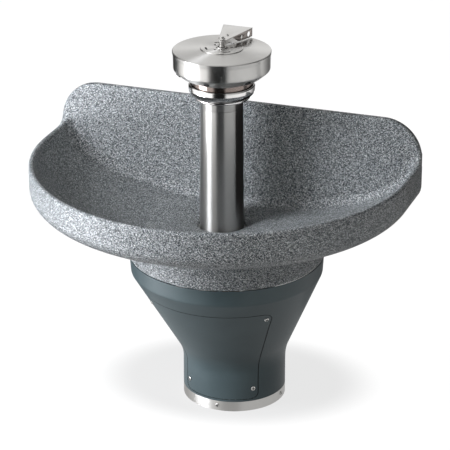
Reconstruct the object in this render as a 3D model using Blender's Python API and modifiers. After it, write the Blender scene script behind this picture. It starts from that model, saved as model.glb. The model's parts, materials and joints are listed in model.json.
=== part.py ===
"""Semi-circular pedestal wash fountain that stands against a wall.

Frame: metres, +Z up, origin on the floor on the column's axis. The wall is the
plane Y = WALL_Y and people stand on the -Y side. X runs along the wall.
"""
import math

import bmesh
import bpy
from mathutils import Matrix, Vector

# ---------------------------------------------------------------- driving sizes
WALL_Y = 0.168             # wall plane, measured from the column's axis
GAP = 0.0003               # clearance between pieces that touch

BOWL_R = 0.6095            # outer radius of the half-round bowl
RIM_Z = 0.868              # height of the rim
RIM_R = 0.593              # inner edge of the rim
BASIN_DEPTH = 0.204        # rim to the lowest point of the basin
BELLY_Z = 0.7984           # where the bowl's outer wall starts to turn under
BELLY_DEPTH = 0.1293       # how far the underside drops below that
BELLY_POWER = 2.4          # fullness of the underside's curve
SPLASH_TOP_Z = 1.013       # top of the backsplash
SPLASH_THICK = 0.022
SPLASH_CORNER_R = 0.126
BASIN_COVE_R = 0.034       # cove between the basin and the backsplash
BOWL_HOLE_R = 0.0790       # hole in the basin round the column
SEAT_Z = 0.618             # flat underside of the bowl, over the support plate

FOOT_R = 0.3147            # bowl's foot, where it meets the pedestal
FOOT_Y = 0.0464            # centre of the foot's arc
FOOT_Z = 0.530
FOOT_WALL = 0.022

BASE_R = 0.1692            # pedestal at the floor
BASE_Y = 0.1233            # centre of the base's arc
FLARE_Z = 0.1628           # where the pedestal starts to flare
FLARE_BLEND = 0.034        # half length of the curve into the flare
SHOULDER_R = 0.3110
SHOULDER_Z = 0.4760        # top of the flare, under the upright top band
SHELL_THICK = 0.003
BAND_TOP_Z = 0.034

PANEL_FOOT_ANGLE = math.radians(46.2)   # half the angle the panel covers, low down
PANEL_TOP_ANGLE = math.radians(49.3)
PANEL_LOW_Z = 0.043
PANEL_HIGH_Z = 0.418
PANEL_CORNER_R = 0.018
PANEL_GAP = 0.0014
PANEL_SCREW_INSET = 0.017
PANEL_SCREW_Z = (0.079, 0.393)

COLUMN_R = 0.0705          # column radius at COLUMN_REF_Z
COLUMN_REF_Z = 0.630
COLUMN_TAPER = 0.0079      # radius lost per metre of height
COLUMN_LOW_Z = 0.5665
COLUMN_TOP_Z = 1.0472

DRAIN_R = 0.118
DRAIN_LOW_Z = 0.556
OUTLET_X = 0.092
WASTE_R = 0.019
WASTE_BORE_R = 0.0165
WASTE_Z = 0.430

COLLAR_TOP_Z = 1.0800
COLLAR_RIM_Z = 1.0843
RING_R = 0.1045
RING_LOW_Z = 1.0895
VALVE_Y = 0.045            # metering valve, behind the column's axis

HEAD_R = 0.155
HEAD_TOP_Z = 1.2275
HUB_Z = 1.2372
BRACKET_Z = 1.2605
BRACKET_THICK = 0.002
BRACKET_BACK_Y = 0.150
BRACKET_HALF_WIDTH = 0.049
ROD_R = 0.006

UPRIGHT_X = 0.131
UPRIGHT_Y = 0.085
UPRIGHT_WIDTH = 0.032
STOP_Z = 0.240
HOT_X = -0.088
COLD_X = -0.002
MIXER_Y = 0.135
MIXER_Z = 0.340

# ---------------------------------------------------------------- clean scene
for old in list(bpy.data.objects):
    bpy.data.objects.remove(old, do_unlink=True)

parts = bpy.data.collections.new("wash_fountain")
cutters = bpy.data.collections.new("cutters")
bpy.context.scene.collection.children.link(parts)
bpy.context.scene.collection.children.link(cutters)


def material(name, colour, roughness, metallic):
    """A plain Principled material."""
    mat = bpy.data.materials.new(name)
    mat.use_nodes = True
    shader = mat.node_tree.nodes["Principled BSDF"]
    shader.inputs["Base Color"].default_value = (*colour, 1.0)
    shader.inputs["Roughness"].default_value = roughness
    shader.inputs["Metallic"].default_value = metallic
    return mat


STONE = material("speckled_stone", (0.20, 0.22, 0.23), 0.55, 0.0)
SLATE = material("slate_shell", (0.045, 0.062, 0.070), 0.45, 0.0)
STEEL = material("brushed_steel", (0.62, 0.61, 0.60), 0.30, 1.0)
POLISHED = material("polished_steel", (0.72, 0.71, 0.70), 0.15, 1.0)
BRASS = material("brass", (0.60, 0.45, 0.20), 0.30, 1.0)
COPPER = material("copper", (0.62, 0.32, 0.20), 0.35, 1.0)
CAST = material("cast_iron", (0.10, 0.10, 0.11), 0.60, 0.6)
PAINTED = material("painted_frame", (0.30, 0.31, 0.32), 0.50, 0.0)
RUBBER = material("rubber", (0.02, 0.02, 0.02), 0.80, 0.0)
PLASTIC = material("plastic", (0.75, 0.75, 0.73), 0.40, 0.0)
RED = material("hot_plastic", (0.55, 0.05, 0.04), 0.40, 0.0)
BLUE = material("cold_plastic", (0.04, 0.10, 0.45), 0.40, 0.0)


# ---------------------------------------------------------------- helpers
def add(name, mesh, mat, at=(0, 0, 0)):
    """Put a mesh into the model as a named piece."""
    obj = bpy.data.objects.new(name, mesh)
    obj.location = at
    mesh.materials.append(mat)
    parts.objects.link(obj)
    return obj


def smooth(obj, angle=35):
    """Shade a round piece smooth, with its real edges sharp."""
    obj.data.shade_smooth()
    obj.data.set_sharp_from_angle(angle=math.radians(angle))
    return obj


def as_cutter(obj):
    """Make a piece a tool that shapes another piece."""
    for home in list(obj.users_collection):
        home.objects.unlink(obj)
    cutters.objects.link(obj)
    obj.hide_render = True
    obj.display_type = "WIRE"
    return obj


def boolean(target, tool, operation):
    """Shape one piece with another."""
    as_cutter(tool)
    change = target.modifiers.new(operation.lower(), "BOOLEAN")
    change.operation = operation
    change.solver = "EXACT"
    change.object = tool
    return target


def cut(target, tool):
    return boolean(target, tool, "DIFFERENCE")


def unite(target, tool):
    return boolean(target, tool, "UNION")


def turned(name, profile, mat, steps=48, at=(0, 0, 0), turn=None, wall=0.0):
    """Turn a (radius, height) profile about Z. It runs down the outer side.

    A profile that starts and ends on the axis is a solid, any other closes into
    a ring. With a wall, the open profile is a sheet that thickens inwards.
    """
    mesh = bpy.data.meshes.new(name)
    points = [(r, 0.0, z) for r, z in profile]
    edges = [(i, i + 1) for i in range(len(points) - 1)]
    if not wall and profile[0][0] > 0:
        edges.append((len(points) - 1, 0))
    mesh.from_pydata(points, edges, [])
    obj = add(name, mesh, mat, at)
    if turn is not None:
        obj.rotation_mode = "QUATERNION"
        obj.rotation_quaternion = turn
    screw = obj.modifiers.new("turn", "SCREW")
    screw.axis = "Z"
    screw.angle = 2 * math.pi
    screw.steps = steps
    screw.render_steps = steps
    screw.use_merge_vertices = True
    screw.merge_threshold = 0.0001
    screw.use_smooth_shade = True
    if wall:
        shell = obj.modifiers.new("wall", "SOLIDIFY")
        shell.thickness = wall
        shell.offset = -1
        shell.use_even_offset = True
    return obj


def cylinder(name, radius, low, high, mat, at=(0, 0), sides=24, turn=None):
    """A plain round bar along Z, or along the turned Z."""
    profile = [(0, high), (radius, high), (radius, low), (0, low)]
    place = at if len(at) == 3 else (at[0], at[1], 0)
    return turned(name, profile, mat, sides, place, turn)


def ring(name, outer, inner, low, high, mat, sides=32):
    """A plain ring about Z."""
    profile = [(outer, high), (outer, low), (inner, low), (inner, high)]
    return turned(name, profile, mat, sides)


def box(name, low, high, mat):
    """A box between two corners."""
    bm = bmesh.new()
    bmesh.ops.create_cube(bm, size=1.0)
    size = Vector(high) - Vector(low)
    bmesh.ops.scale(bm, vec=size, verts=bm.verts)
    mesh = bpy.data.meshes.new(name)
    bm.to_mesh(mesh)
    bm.free()
    return add(name, mesh, mat, (Vector(high) + Vector(low)) / 2)


def drill(target, radius, start, direction, depth, sides=16):
    """Bore a round hole into a piece."""
    turn = Vector((0, 0, 1)).rotation_difference(Vector(direction))
    tool = cylinder(target.name + "_bore", radius, 0, depth, target.active_material,
                    tuple(start), sides, turn)
    return cut(target, tool)


def curve_to_mesh(obj):
    """Swap a curve piece for its welded mesh."""
    bpy.context.view_layer.update()
    graph = bpy.context.evaluated_depsgraph_get()
    mesh = bpy.data.meshes.new_from_object(obj.evaluated_get(graph))
    bm = bmesh.new()
    bm.from_mesh(mesh)
    bmesh.ops.remove_doubles(bm, verts=bm.verts, dist=0.00001)
    bmesh.ops.recalc_face_normals(bm, faces=bm.faces)
    bm.to_mesh(mesh)
    bm.free()
    name = obj.name
    place = obj.matrix_world.copy()
    bpy.data.objects.remove(obj, do_unlink=True)
    new = bpy.data.objects.new(name, mesh)
    new.matrix_world = place
    parts.objects.link(new)
    return new


def plate(name, outlines, low, thick, mat, turn=None, at=None):
    """A flat plate: the first outline is its edge, the others are openings."""
    curve = bpy.data.curves.new(name, "CURVE")
    curve.dimensions = "2D"
    curve.fill_mode = "BOTH"
    curve.extrude = thick / 2
    curve.materials.append(mat)
    for outline in outlines:
        spline = curve.splines.new("POLY")
        spline.points.add(len(outline) - 1)
        for point, (x, y) in zip(spline.points, outline):
            point.co = (x, y, 0, 1)
        spline.use_cyclic_u = True
    obj = bpy.data.objects.new(name, curve)
    obj.location = at if at is not None else (0, 0, low + thick / 2)
    if turn is not None:
        obj.rotation_mode = "QUATERNION"
        obj.rotation_quaternion = turn
    parts.objects.link(obj)
    return curve_to_mesh(obj)


def circle(radius, centre=(0, 0), sides=24):
    """Points round a circle."""
    angles = [2 * math.pi * i / sides for i in range(sides)]
    return [(centre[0] + radius * math.cos(a), centre[1] + radius * math.sin(a)) for a in angles]


def rounded(points, radii, steps=5):
    """An outline with some corners rounded; radii goes from corner index to radius."""
    result = []
    count = len(points)
    for i, point in enumerate(points):
        if i not in radii:
            result.append(point)
            continue
        here = Vector(point)
        before = (Vector(points[i - 1]) - here).normalized()
        after = (Vector(points[(i + 1) % count]) - here).normalized()
        half = math.acos(max(-1, min(1, before.dot(after)))) / 2
        centre = here + (before + after).normalized() * radii[i] / math.sin(half)
        start = here + before * radii[i] / math.tan(half) - centre
        end = here + after * radii[i] / math.tan(half) - centre
        sweep = start.angle_signed(end)
        for step in range(steps + 1):
            spoke = Matrix.Rotation(-sweep * step / steps, 2) @ start
            result.append(tuple(centre + spoke))
    return result


def bend(points, radius, steps=4):
    """A pipe's route with its corners bent to a radius."""
    route = [Vector(points[0])]
    for i in range(1, len(points) - 1):
        corner = Vector(points[i])
        before = (Vector(points[i - 1]) - corner).normalized()
        after = (Vector(points[i + 1]) - corner).normalized()
        half = before.angle(after) / 2
        reach = radius / math.tan(half)
        centre = corner + (before + after).normalized() * radius / math.sin(half)
        start = corner + before * reach - centre
        end = corner + after * reach - centre
        axis = start.cross(end)
        for step in range(steps + 1):
            spoke = Matrix.Rotation(start.angle(end) * step / steps, 3, axis) @ start
            route.append(centre + spoke)
    route.append(Vector(points[-1]))
    return route


def pipe(name, route, radius, mat, bore=0.0, resolution=3):
    """A round bar along a route, or a pipe when it has a bore."""
    curve = bpy.data.curves.new(name, "CURVE")
    curve.dimensions = "3D"
    curve.bevel_depth = radius
    curve.bevel_resolution = resolution
    curve.use_fill_caps = not bore
    curve.materials.append(mat)
    spline = curve.splines.new("POLY")
    spline.points.add(len(route) - 1)
    for point, place in zip(spline.points, route):
        point.co = (*place, 1)
    obj = bpy.data.objects.new(name, curve)
    parts.objects.link(obj)
    obj = curve_to_mesh(obj)
    if bore:
        wall = obj.modifiers.new("wall", "SOLIDIFY")
        wall.thickness = radius - bore
        wall.offset = -1
        wall.use_even_offset = True
    return smooth(obj)


def wall_ring(z, radius, centre_y, sides):
    """Points of an arc that starts and ends on the wall, passing the front."""
    back = WALL_Y - GAP
    rise = math.asin(min(1.0, (back - centre_y) / radius))
    first = math.pi - rise
    sweep = math.pi + 2 * rise
    angles = [first + sweep * i / sides for i in range(sides + 1)]
    return [(radius * math.cos(a), centre_y + radius * math.sin(a), z) for a in angles]


def wall_loft(name, stations, mat, sides=30, wall=0.0):
    """A piece whose sections are arcs cut off by the wall.

    Stations are (height, radius, arc centre Y) from the bottom up. With a wall it
    is a sheet, open at the back, top and bottom; without one it is a solid.
    """
    bm = bmesh.new()
    rows = []
    for z, radius, centre_y in stations:
        rows.append([bm.verts.new(p) for p in wall_ring(z, radius, centre_y, sides)])
    for low, high in zip(rows, rows[1:]):
        for i in range(sides):
            bm.faces.new((low[i], low[i + 1], high[i + 1], high[i]))
        if not wall:
            bm.faces.new((low[sides], low[0], high[0], high[sides]))
    if not wall:
        bm.faces.new(list(reversed(rows[0])))
        bm.faces.new(rows[-1])
    mesh = bpy.data.meshes.new(name)
    bm.to_mesh(mesh)
    bm.free()
    obj = add(name, mesh, mat)
    if wall:
        shell = obj.modifiers.new("wall", "SOLIDIFY")
        shell.thickness = wall
        shell.offset = -1
        shell.use_even_offset = True
    return smooth(obj)


def half_round(name, profile, back_y, mat, steps=30, cove=0.0):
    """A half-turned solid on the front side, carried straight back to back_y.

    A cove rounds the edges of its back face.
    """
    bm = bmesh.new()
    verts = [bm.verts.new((r, 0, z)) for r, z in profile]
    edges = [bm.edges.new(pair) for pair in zip(verts, verts[1:])]
    bmesh.ops.spin(bm, geom=verts + edges, cent=(0, 0, 0), axis=(0, 0, 1),
                   angle=-math.pi, steps=steps)
    bmesh.ops.remove_doubles(bm, verts=bm.verts, dist=0.00001)
    border = [edge for edge in bm.edges if edge.is_boundary]
    pulled = bmesh.ops.extrude_edge_only(bm, edges=border)["geom"]
    moved = [item for item in pulled if isinstance(item, bmesh.types.BMVert)]
    bmesh.ops.translate(bm, vec=(0, back_y, 0), verts=moved)
    back = [edge for edge in bm.edges if edge.is_boundary]
    bmesh.ops.contextual_create(bm, geom=back)
    bmesh.ops.recalc_face_normals(bm, faces=bm.faces)
    if cove:
        corners = []
        for edge in bm.edges:
            at_back = all(abs(v.co.y - back_y) < 0.00001 for v in edge.verts)
            if at_back and min(v.co.z for v in edge.verts) < SPLASH_TOP_Z:
                corners.append(edge)
        bmesh.ops.bevel(bm, geom=corners, offset=cove, offset_type="OFFSET", segments=3,
                        profile=0.5, affect="EDGES", clamp_overlap=True)
    mesh = bpy.data.meshes.new(name)
    bm.to_mesh(mesh)
    bm.free()
    return smooth(add(name, mesh, mat))


def hex_nut(name, across, bore, centre, thick, mat, turn=None):
    """A plain hexagon nut about the turned Z, centred on a point."""
    corner = across / math.sqrt(3)
    outlines = [circle(corner, sides=6), circle(bore, sides=18)]
    return plate(name, outlines, 0, thick, mat, turn, centre)


def screw(name, point, outward, head_r, head_h, shank_r, length, mat):
    """A low round-head screw whose head stands on a surface."""
    outward = Vector(outward).normalized()
    turn = Vector((0, 0, 1)).rotation_difference(outward)
    profile = [(0, head_h), (head_r * 0.70, head_h * 0.80), (head_r, 0), (shank_r, 0),
               (shank_r, -length), (0, -length)]
    return turned(name, profile, mat, 10, tuple(Vector(point) + outward * GAP), turn)


# ---------------------------------------------------------------- bowl
def arc_profile(centre_r, centre_z, radius, start, end, steps):
    """Points of a (radius, height) arc, with angles in degrees from straight out."""
    points = []
    for i in range(steps + 1):
        angle = math.radians(start + (end - start) * i / steps)
        points.append((centre_r + radius * math.cos(angle), centre_z + radius * math.sin(angle)))
    return points


def belly_profile(steps=8):
    """The bowl's outside: rounded rim, upright side, then a full curve under."""
    points = [(0, RIM_Z)]
    points += arc_profile(BOWL_R - 0.007, RIM_Z - 0.007, 0.007, 90, 0, 3)
    for i in range(steps + 1):
        turn = math.pi / 2 * i / steps
        radius = BOWL_R * math.cos(turn) ** (2 / BELLY_POWER)
        points.append((radius, BELLY_Z - BELLY_DEPTH * math.sin(turn) ** (2 / BELLY_POWER)))
    points[-1] = (0, BELLY_Z - BELLY_DEPTH)
    return points


def basin_profile(steps=10):
    """The basin's inside: an elliptical hollow that opens through the rim."""
    points = [(0, 1.1), (RIM_R + 0.005, 1.1), (RIM_R + 0.005, RIM_Z), (RIM_R + 0.0015, RIM_Z - 0.0015)]
    for i in range(1, steps):
        turn = math.pi / 2 * i / steps
        points.append((RIM_R * math.cos(turn), RIM_Z - BASIN_DEPTH * math.sin(turn)))
    points.append((0, RIM_Z - BASIN_DEPTH))
    return points


def make_bowl():
    """Cast bowl, backsplash and foot in one piece."""
    bowl = half_round("bowl", belly_profile(), WALL_Y, STONE)

    low, side = BELLY_Z + 0.004, BOWL_R - 0.0006
    outline = [(-side, low), (side, low), (side, SPLASH_TOP_Z), (-side, SPLASH_TOP_Z)]
    outline = rounded(outline, {2: SPLASH_CORNER_R, 3: SPLASH_CORNER_R}, 8)
    stand = Matrix.Rotation(math.pi / 2, 3, "X").to_quaternion()
    front = WALL_Y - SPLASH_THICK + GAP
    splash = plate("backsplash", [outline], 0, WALL_Y - front, STONE, stand,
                   (0, (front + WALL_Y) / 2, 0))
    edge = splash.modifiers.new("edges", "BEVEL")
    edge.width = 0.007
    edge.segments = 2
    edge.limit_method = "ANGLE"
    edge.angle_limit = math.radians(60)
    unite(bowl, splash)

    # the rim sweeps up into the backsplash at both ends
    sweep = 0.042
    for side_x in (-1, 1):
        outline = [(front - sweep, RIM_Z - 0.03), (front + 0.004, RIM_Z - 0.03),
                   (front + 0.004, RIM_Z + sweep), (front, RIM_Z + sweep)]
        outline += [(r, z) for r, z in arc_profile(front - sweep, RIM_Z + sweep, sweep, 0, -90, 6)][1:]
        turn = Matrix(((0, 0, 1), (1, 0, 0), (0, 1, 0))).to_quaternion()
        inner, outer = 0.545, BOWL_R - 0.0012
        unite(bowl, plate("rim_sweep", [outline], 0, outer - inner, STONE, turn,
                          (side_x * (inner + outer) / 2, 0, 0)))

    foot = wall_loft("bowl_foot", [(FOOT_Z, FOOT_R, FOOT_Y), (0.60, FOOT_R + 0.002, FOOT_Y - 0.001),
                                   (0.66, FOOT_R + 0.010, FOOT_Y - 0.006),
                                   (0.715, FOOT_R + 0.030, FOOT_Y - 0.016)], STONE)
    unite(bowl, foot)

    cut(bowl, half_round("basin", basin_profile(), WALL_Y - SPLASH_THICK, STONE, 30, BASIN_COVE_R))

    # a shallow dish round the column leads the water to the drain
    dish = [(0, 0.72), (0.150, 0.72), (0.150, 0.6706), (0.130, 0.6655), (0.100, 0.6565),
            (0.0865, 0.6515), (BOWL_HOLE_R, 0.6440), (BOWL_HOLE_R, 0.6325), (0.0745, 0.6325),
            (0.0745, 0.55), (0, 0.55)]
    cut(bowl, turned("drain_dish", dish, STONE, 30))

    # hollow foot, open below, with a flat roof that the support plate bears on
    pocket = wall_loft("foot_pocket", [(0.50, FOOT_R - FOOT_WALL, FOOT_Y),
                                       (SEAT_Z, FOOT_R - FOOT_WALL, FOOT_Y)], STONE, 30)
    keep = box("pocket_limit", (-0.4, -0.4, 0.49), (0.4, WALL_Y - FOOT_WALL, SEAT_Z + 0.01), STONE)
    trim = pocket.modifiers.new("limit", "BOOLEAN")
    trim.operation = "INTERSECT"
    trim.solver = "EXACT"
    trim.object = as_cutter(keep)
    cut(bowl, pocket)
    return bowl


def make_drain():
    """Everything the waste water runs through."""
    outline = []
    teeth = 16
    for i in range(teeth):
        for part_turn, radius in ((0.0, 0.0783), (0.5, 0.0783), (0.5, 0.0755), (1.0, 0.0755)):
            angle = 2 * math.pi * (i + part_turn) / teeth
            outline.append((radius * math.cos(angle), radius * math.sin(angle)))
    plate("strainer_ring", [outline, circle(0.0716, sides=32)], 0.6328, 0.0030, STEEL)

    top = SEAT_Z - GAP - 0.0020 - GAP
    body = [(DRAIN_R, top), (DRAIN_R, DRAIN_LOW_Z), (ROD_R + 0.0006, DRAIN_LOW_Z),
            (ROD_R + 0.0006, COLUMN_LOW_Z - GAP), (DRAIN_R - 0.006, COLUMN_LOW_Z - GAP),
            (DRAIN_R - 0.006, top - 0.010), (DRAIN_R - 0.018, top)]
    drain = turned("drain_body", body, CAST, 24)
    drill(drain, WASTE_BORE_R - 0.001, (OUTLET_X, 0, 0.50), (0, 0, 1), 0.08)
    drill(drain, ROD_R + 0.0015, (-0.030, 0, 0.50), (0, 0, 1), 0.08)
    ring("drain_gasket", DRAIN_R, DRAIN_R - 0.018, top + GAP, SEAT_Z - GAP, RUBBER, sides=24)

    joint_z = 0.4720
    pipe("tailpiece", [(OUTLET_X, 0, DRAIN_LOW_Z - GAP), (OUTLET_X, 0, joint_z)],
         WASTE_R, PLASTIC, WASTE_BORE_R)
    hex_nut("slip_nut_upper", 0.046, WASTE_R + GAP, (OUTLET_X, 0, joint_z), 0.026, PLASTIC)
    low, back = 0.3200, 0.075
    arm_end = 0.1250
    route = [(OUTLET_X, 0, joint_z - GAP), (OUTLET_X, 0, low), (OUTLET_X, back, low),
             (OUTLET_X, back, WASTE_Z), (OUTLET_X, arm_end, WASTE_Z)]
    pipe("p_trap", bend(route, 0.030), WASTE_R, PLASTIC, WASTE_BORE_R)
    sideways = Matrix.Rotation(math.pi / 2, 3, "X").to_quaternion()
    hex_nut("slip_nut_lower", 0.046, WASTE_R + GAP, (OUTLET_X, arm_end, WASTE_Z), 0.026, PLASTIC, sideways)
    pipe("waste_pipe", [(OUTLET_X, arm_end + GAP, WASTE_Z), (OUTLET_X, WALL_Y - GAP, WASTE_Z)],
         WASTE_R, PLASTIC, WASTE_BORE_R)


# ---------------------------------------------------------------- frame and pedestal
def make_frame():
    """Floor plate, anchor bolts, uprights and the plate that the bowl sits on."""
    rim_r = BASE_R - SHELL_THICK - GAP
    plate_z = 0.006
    base = wall_loft("base_plate", [(0, rim_r, BASE_Y), (0.048, rim_r, BASE_Y)], PAINTED)
    well = wall_loft("base_well", [(plate_z, rim_r - 0.004, BASE_Y), (0.06, rim_r - 0.004, BASE_Y)],
                     PAINTED)
    cut(base, well)
    back_gap = box("base_back", (-0.14, WALL_Y - 0.01, plate_z), (0.14, WALL_Y + 0.01, 0.06), PAINTED)
    cut(base, back_gap)

    for number, (x, y) in enumerate(((-0.10, 0.03), (0.10, 0.03), (-0.06, 0.145), (0.06, 0.145)), 1):
        drill(base, 0.0066, (x, y, -0.01), (0, 0, 1), 0.03, 10)
        shaft = [(0, plate_z + 0.0075), (0.0105, plate_z + 0.0075), (0.0105, plate_z + GAP),
                 (0.0060, plate_z + GAP), (0.0060, 0.0004), (0, 0.0004)]
        turned("anchor_bolt_%d" % number, shaft, STEEL, 8, (x, y, 0))

    half = UPRIGHT_WIDTH / 2
    top = SEAT_Z - GAP - 0.008 - GAP
    for side, name in ((-1, "frame_upright_left"), (1, "frame_upright_right")):
        x = side * UPRIGHT_X
        post = box(name, (x - half, UPRIGHT_Y - half, plate_z + GAP),
                   (x + half, UPRIGHT_Y + half, top), PAINTED)
        wall = 0.003
        cut(post, box(name + "_bore", (x - half + wall, UPRIGHT_Y - half + wall, 0),
                      (x + half - wall, UPRIGHT_Y + half - wall, 0.7), PAINTED))

    outline = rounded([(-0.152, -0.125), (0.152, -0.125), (0.152, 0.108), (-0.152, 0.108)],
                      {0: 0.05, 1: 0.05, 2: 0.02, 3: 0.02})
    plate("bowl_support_plate", [outline, circle(DRAIN_R + 0.0014, sides=24)], top + GAP, 0.008, PAINTED)


def pedestal_size(z):
    """Arc radius and arc centre of the pedestal's outside at a height."""
    slope = (SHOULDER_R - BASE_R) / (SHOULDER_Z - FLARE_Z)
    if z < FLARE_Z - FLARE_BLEND:
        radius = BASE_R
    elif z < FLARE_Z + FLARE_BLEND:
        radius = BASE_R + slope * (z - FLARE_Z + FLARE_BLEND) ** 2 / (4 * FLARE_BLEND)
    elif z < SHOULDER_Z:
        radius = BASE_R + slope * (z - FLARE_Z)
    else:
        radius = SHOULDER_R + (FOOT_R - SHOULDER_R) * (z - SHOULDER_Z) / (FOOT_Z - SHOULDER_Z)
    share = (radius - BASE_R) / (FOOT_R - BASE_R)
    return radius, BASE_Y + (FOOT_Y - BASE_Y) * share


def pedestal_heights():
    """Section heights, close together only where the outline bends."""
    heights = [BAND_TOP_Z + GAP, FLARE_Z - FLARE_BLEND]
    heights += [FLARE_Z + FLARE_BLEND * k / 2 for k in (-1, 0, 1, 2)]
    heights += [SHOULDER_Z - 0.006, SHOULDER_Z + 0.006, FOOT_Z - 0.0010]
    return heights


def panel_angle(z):
    """Half the angle that the panel covers at a height."""
    share = max(0.0, z - FLARE_Z) / (PANEL_HIGH_Z - FLARE_Z)
    return PANEL_FOOT_ANGLE + (PANEL_TOP_ANGLE - PANEL_FOOT_ANGLE) * share


def panel_outline(grow):
    """Front view of the access panel, which widens with the pedestal."""
    right = []
    low, high = PANEL_LOW_Z - grow, PANEL_HIGH_Z + grow
    bends = [h for h in pedestal_heights() if low + 0.03 < h < high - 0.05]
    for z in [low] + bends + [high]:
        right.append((pedestal_size(z)[0] * math.sin(panel_angle(z)) + grow, z))
    outline = right + [(-x, z) for x, z in reversed(right)]
    last = len(outline) - 1
    corners = (0, len(right) - 1, len(right), last)
    return rounded(outline, {i: PANEL_CORNER_R + grow for i in corners})


def panel_tool(name, grow):
    """A bar along Y with the panel's outline, from the front to inside the shell."""
    stand = Matrix.Rotation(math.pi / 2, 3, "X").to_quaternion()
    return plate(name, [panel_outline(grow)], 0, 0.50, SLATE, stand, (0, BASE_Y - 0.02 - 0.25, 0))


def on_shell(z, angle):
    """A point on the pedestal's outside and the direction out of it there."""
    radius, centre_y = pedestal_size(z)
    step = 0.002
    above, above_y = pedestal_size(z + step)
    below, below_y = pedestal_size(z - step)
    point = Vector((radius * math.sin(angle), centre_y - radius * math.cos(angle), z))
    upper = Vector((above * math.sin(angle), above_y - above * math.cos(angle), z + step))
    lower = Vector((below * math.sin(angle), below_y - below * math.cos(angle), z - step))
    along = Vector((math.cos(angle), math.sin(angle), 0))
    return point, along.cross(upper - lower).normalized()


def make_pedestal():
    """Outer shell, its access panel with screws, and the band at the floor."""
    stations = [(z, *pedestal_size(z)) for z in pedestal_heights()]
    shell = wall_loft("pedestal_shell", stations, SLATE, 30, SHELL_THICK)
    cut(shell, panel_tool("panel_opening", PANEL_GAP))

    panel = wall_loft("access_panel", stations, SLATE, 30, SHELL_THICK)
    keep = panel.modifiers.new("outline", "BOOLEAN")
    keep.operation = "INTERSECT"
    keep.solver = "EXACT"
    keep.object = as_cutter(panel_tool("panel_blank", 0.0))

    number = 0
    for z in PANEL_SCREW_Z:
        inset = PANEL_SCREW_INSET / pedestal_size(z)[0]
        for side in (-1, 1):
            number += 1
            point, outward = on_shell(z, side * (panel_angle(z) - inset))
            drill(panel, 0.0032, point - outward * 0.02, outward, 0.04, 12)
            screw("panel_screw_%d" % number, point + outward * 0.0006, outward, 0.0074, 0.0030,
                  0.0028, 0.010, STEEL)

    band = wall_loft("base_band", [(0, BASE_R, BASE_Y), (BAND_TOP_Z, BASE_R, BASE_Y)], STEEL, 30,
                     SHELL_THICK)
    base = bpy.data.objects["base_plate"]
    for number, angle in enumerate((-math.radians(85), 0, math.radians(85)), 1):
        point = Vector((BASE_R * math.sin(angle), BASE_Y - BASE_R * math.cos(angle), 0.0175))
        outward = Vector((math.sin(angle), -math.cos(angle), 0))
        for piece in (band, base):
            drill(piece, 0.0026, point - outward * 0.015, outward, 0.03, 12)
        screw("band_screw_%d" % number, point + outward * 0.0004, outward, 0.0066, 0.0026,
              0.0022, 0.009, STEEL)


# ---------------------------------------------------------------- column and touch ring
def column_radius(z):
    return COLUMN_R - COLUMN_TAPER * (z - COLUMN_REF_Z)


def make_column():
    """Tapered post with the rod and the pipes that run up inside it."""
    profile = [(column_radius(z), z) for z in (COLUMN_TOP_Z - GAP, COLUMN_LOW_Z)]
    turned("column_tube", profile, STEEL, 32, wall=0.002)
    seal_r = column_radius(COLUMN_LOW_Z) + GAP
    ring("column_seal", seal_r + 0.0035, seal_r, COLUMN_LOW_Z, COLUMN_LOW_Z + 0.008, RUBBER, sides=32)

    shoulder = 0.0095
    under_bracket = BRACKET_Z - GAP
    hub_top = HUB_Z + 0.0018 + GAP
    rod = [(0, 1.2745), (ROD_R - 0.001, 1.2745), (ROD_R, 1.2735), (ROD_R, under_bracket),
           (shoulder, under_bracket), (shoulder, under_bracket - 0.0025),
           (ROD_R, under_bracket - 0.0025), (ROD_R, hub_top + 0.003), (shoulder, hub_top + 0.003),
           (shoulder, hub_top), (ROD_R, hub_top), (ROD_R, 0.5450), (0, 0.5450)]
    turned("tie_rod", rod, STEEL, 12)
    hex_nut("tie_rod_nut", 0.024, ROD_R + GAP, (0, 0, DRAIN_LOW_Z - GAP - 0.0045), 0.008, STEEL)

    top = BRACKET_Z + BRACKET_THICK + GAP
    ring("top_washer", 0.0125, ROD_R + GAP, top, top + 0.0014, STEEL, sides=16)
    nut_low = top + 0.0014 + GAP
    hex_nut("top_nut", 0.019, ROD_R + GAP, (0, 0, nut_low + 0.0032), 0.0064, STEEL)


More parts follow.
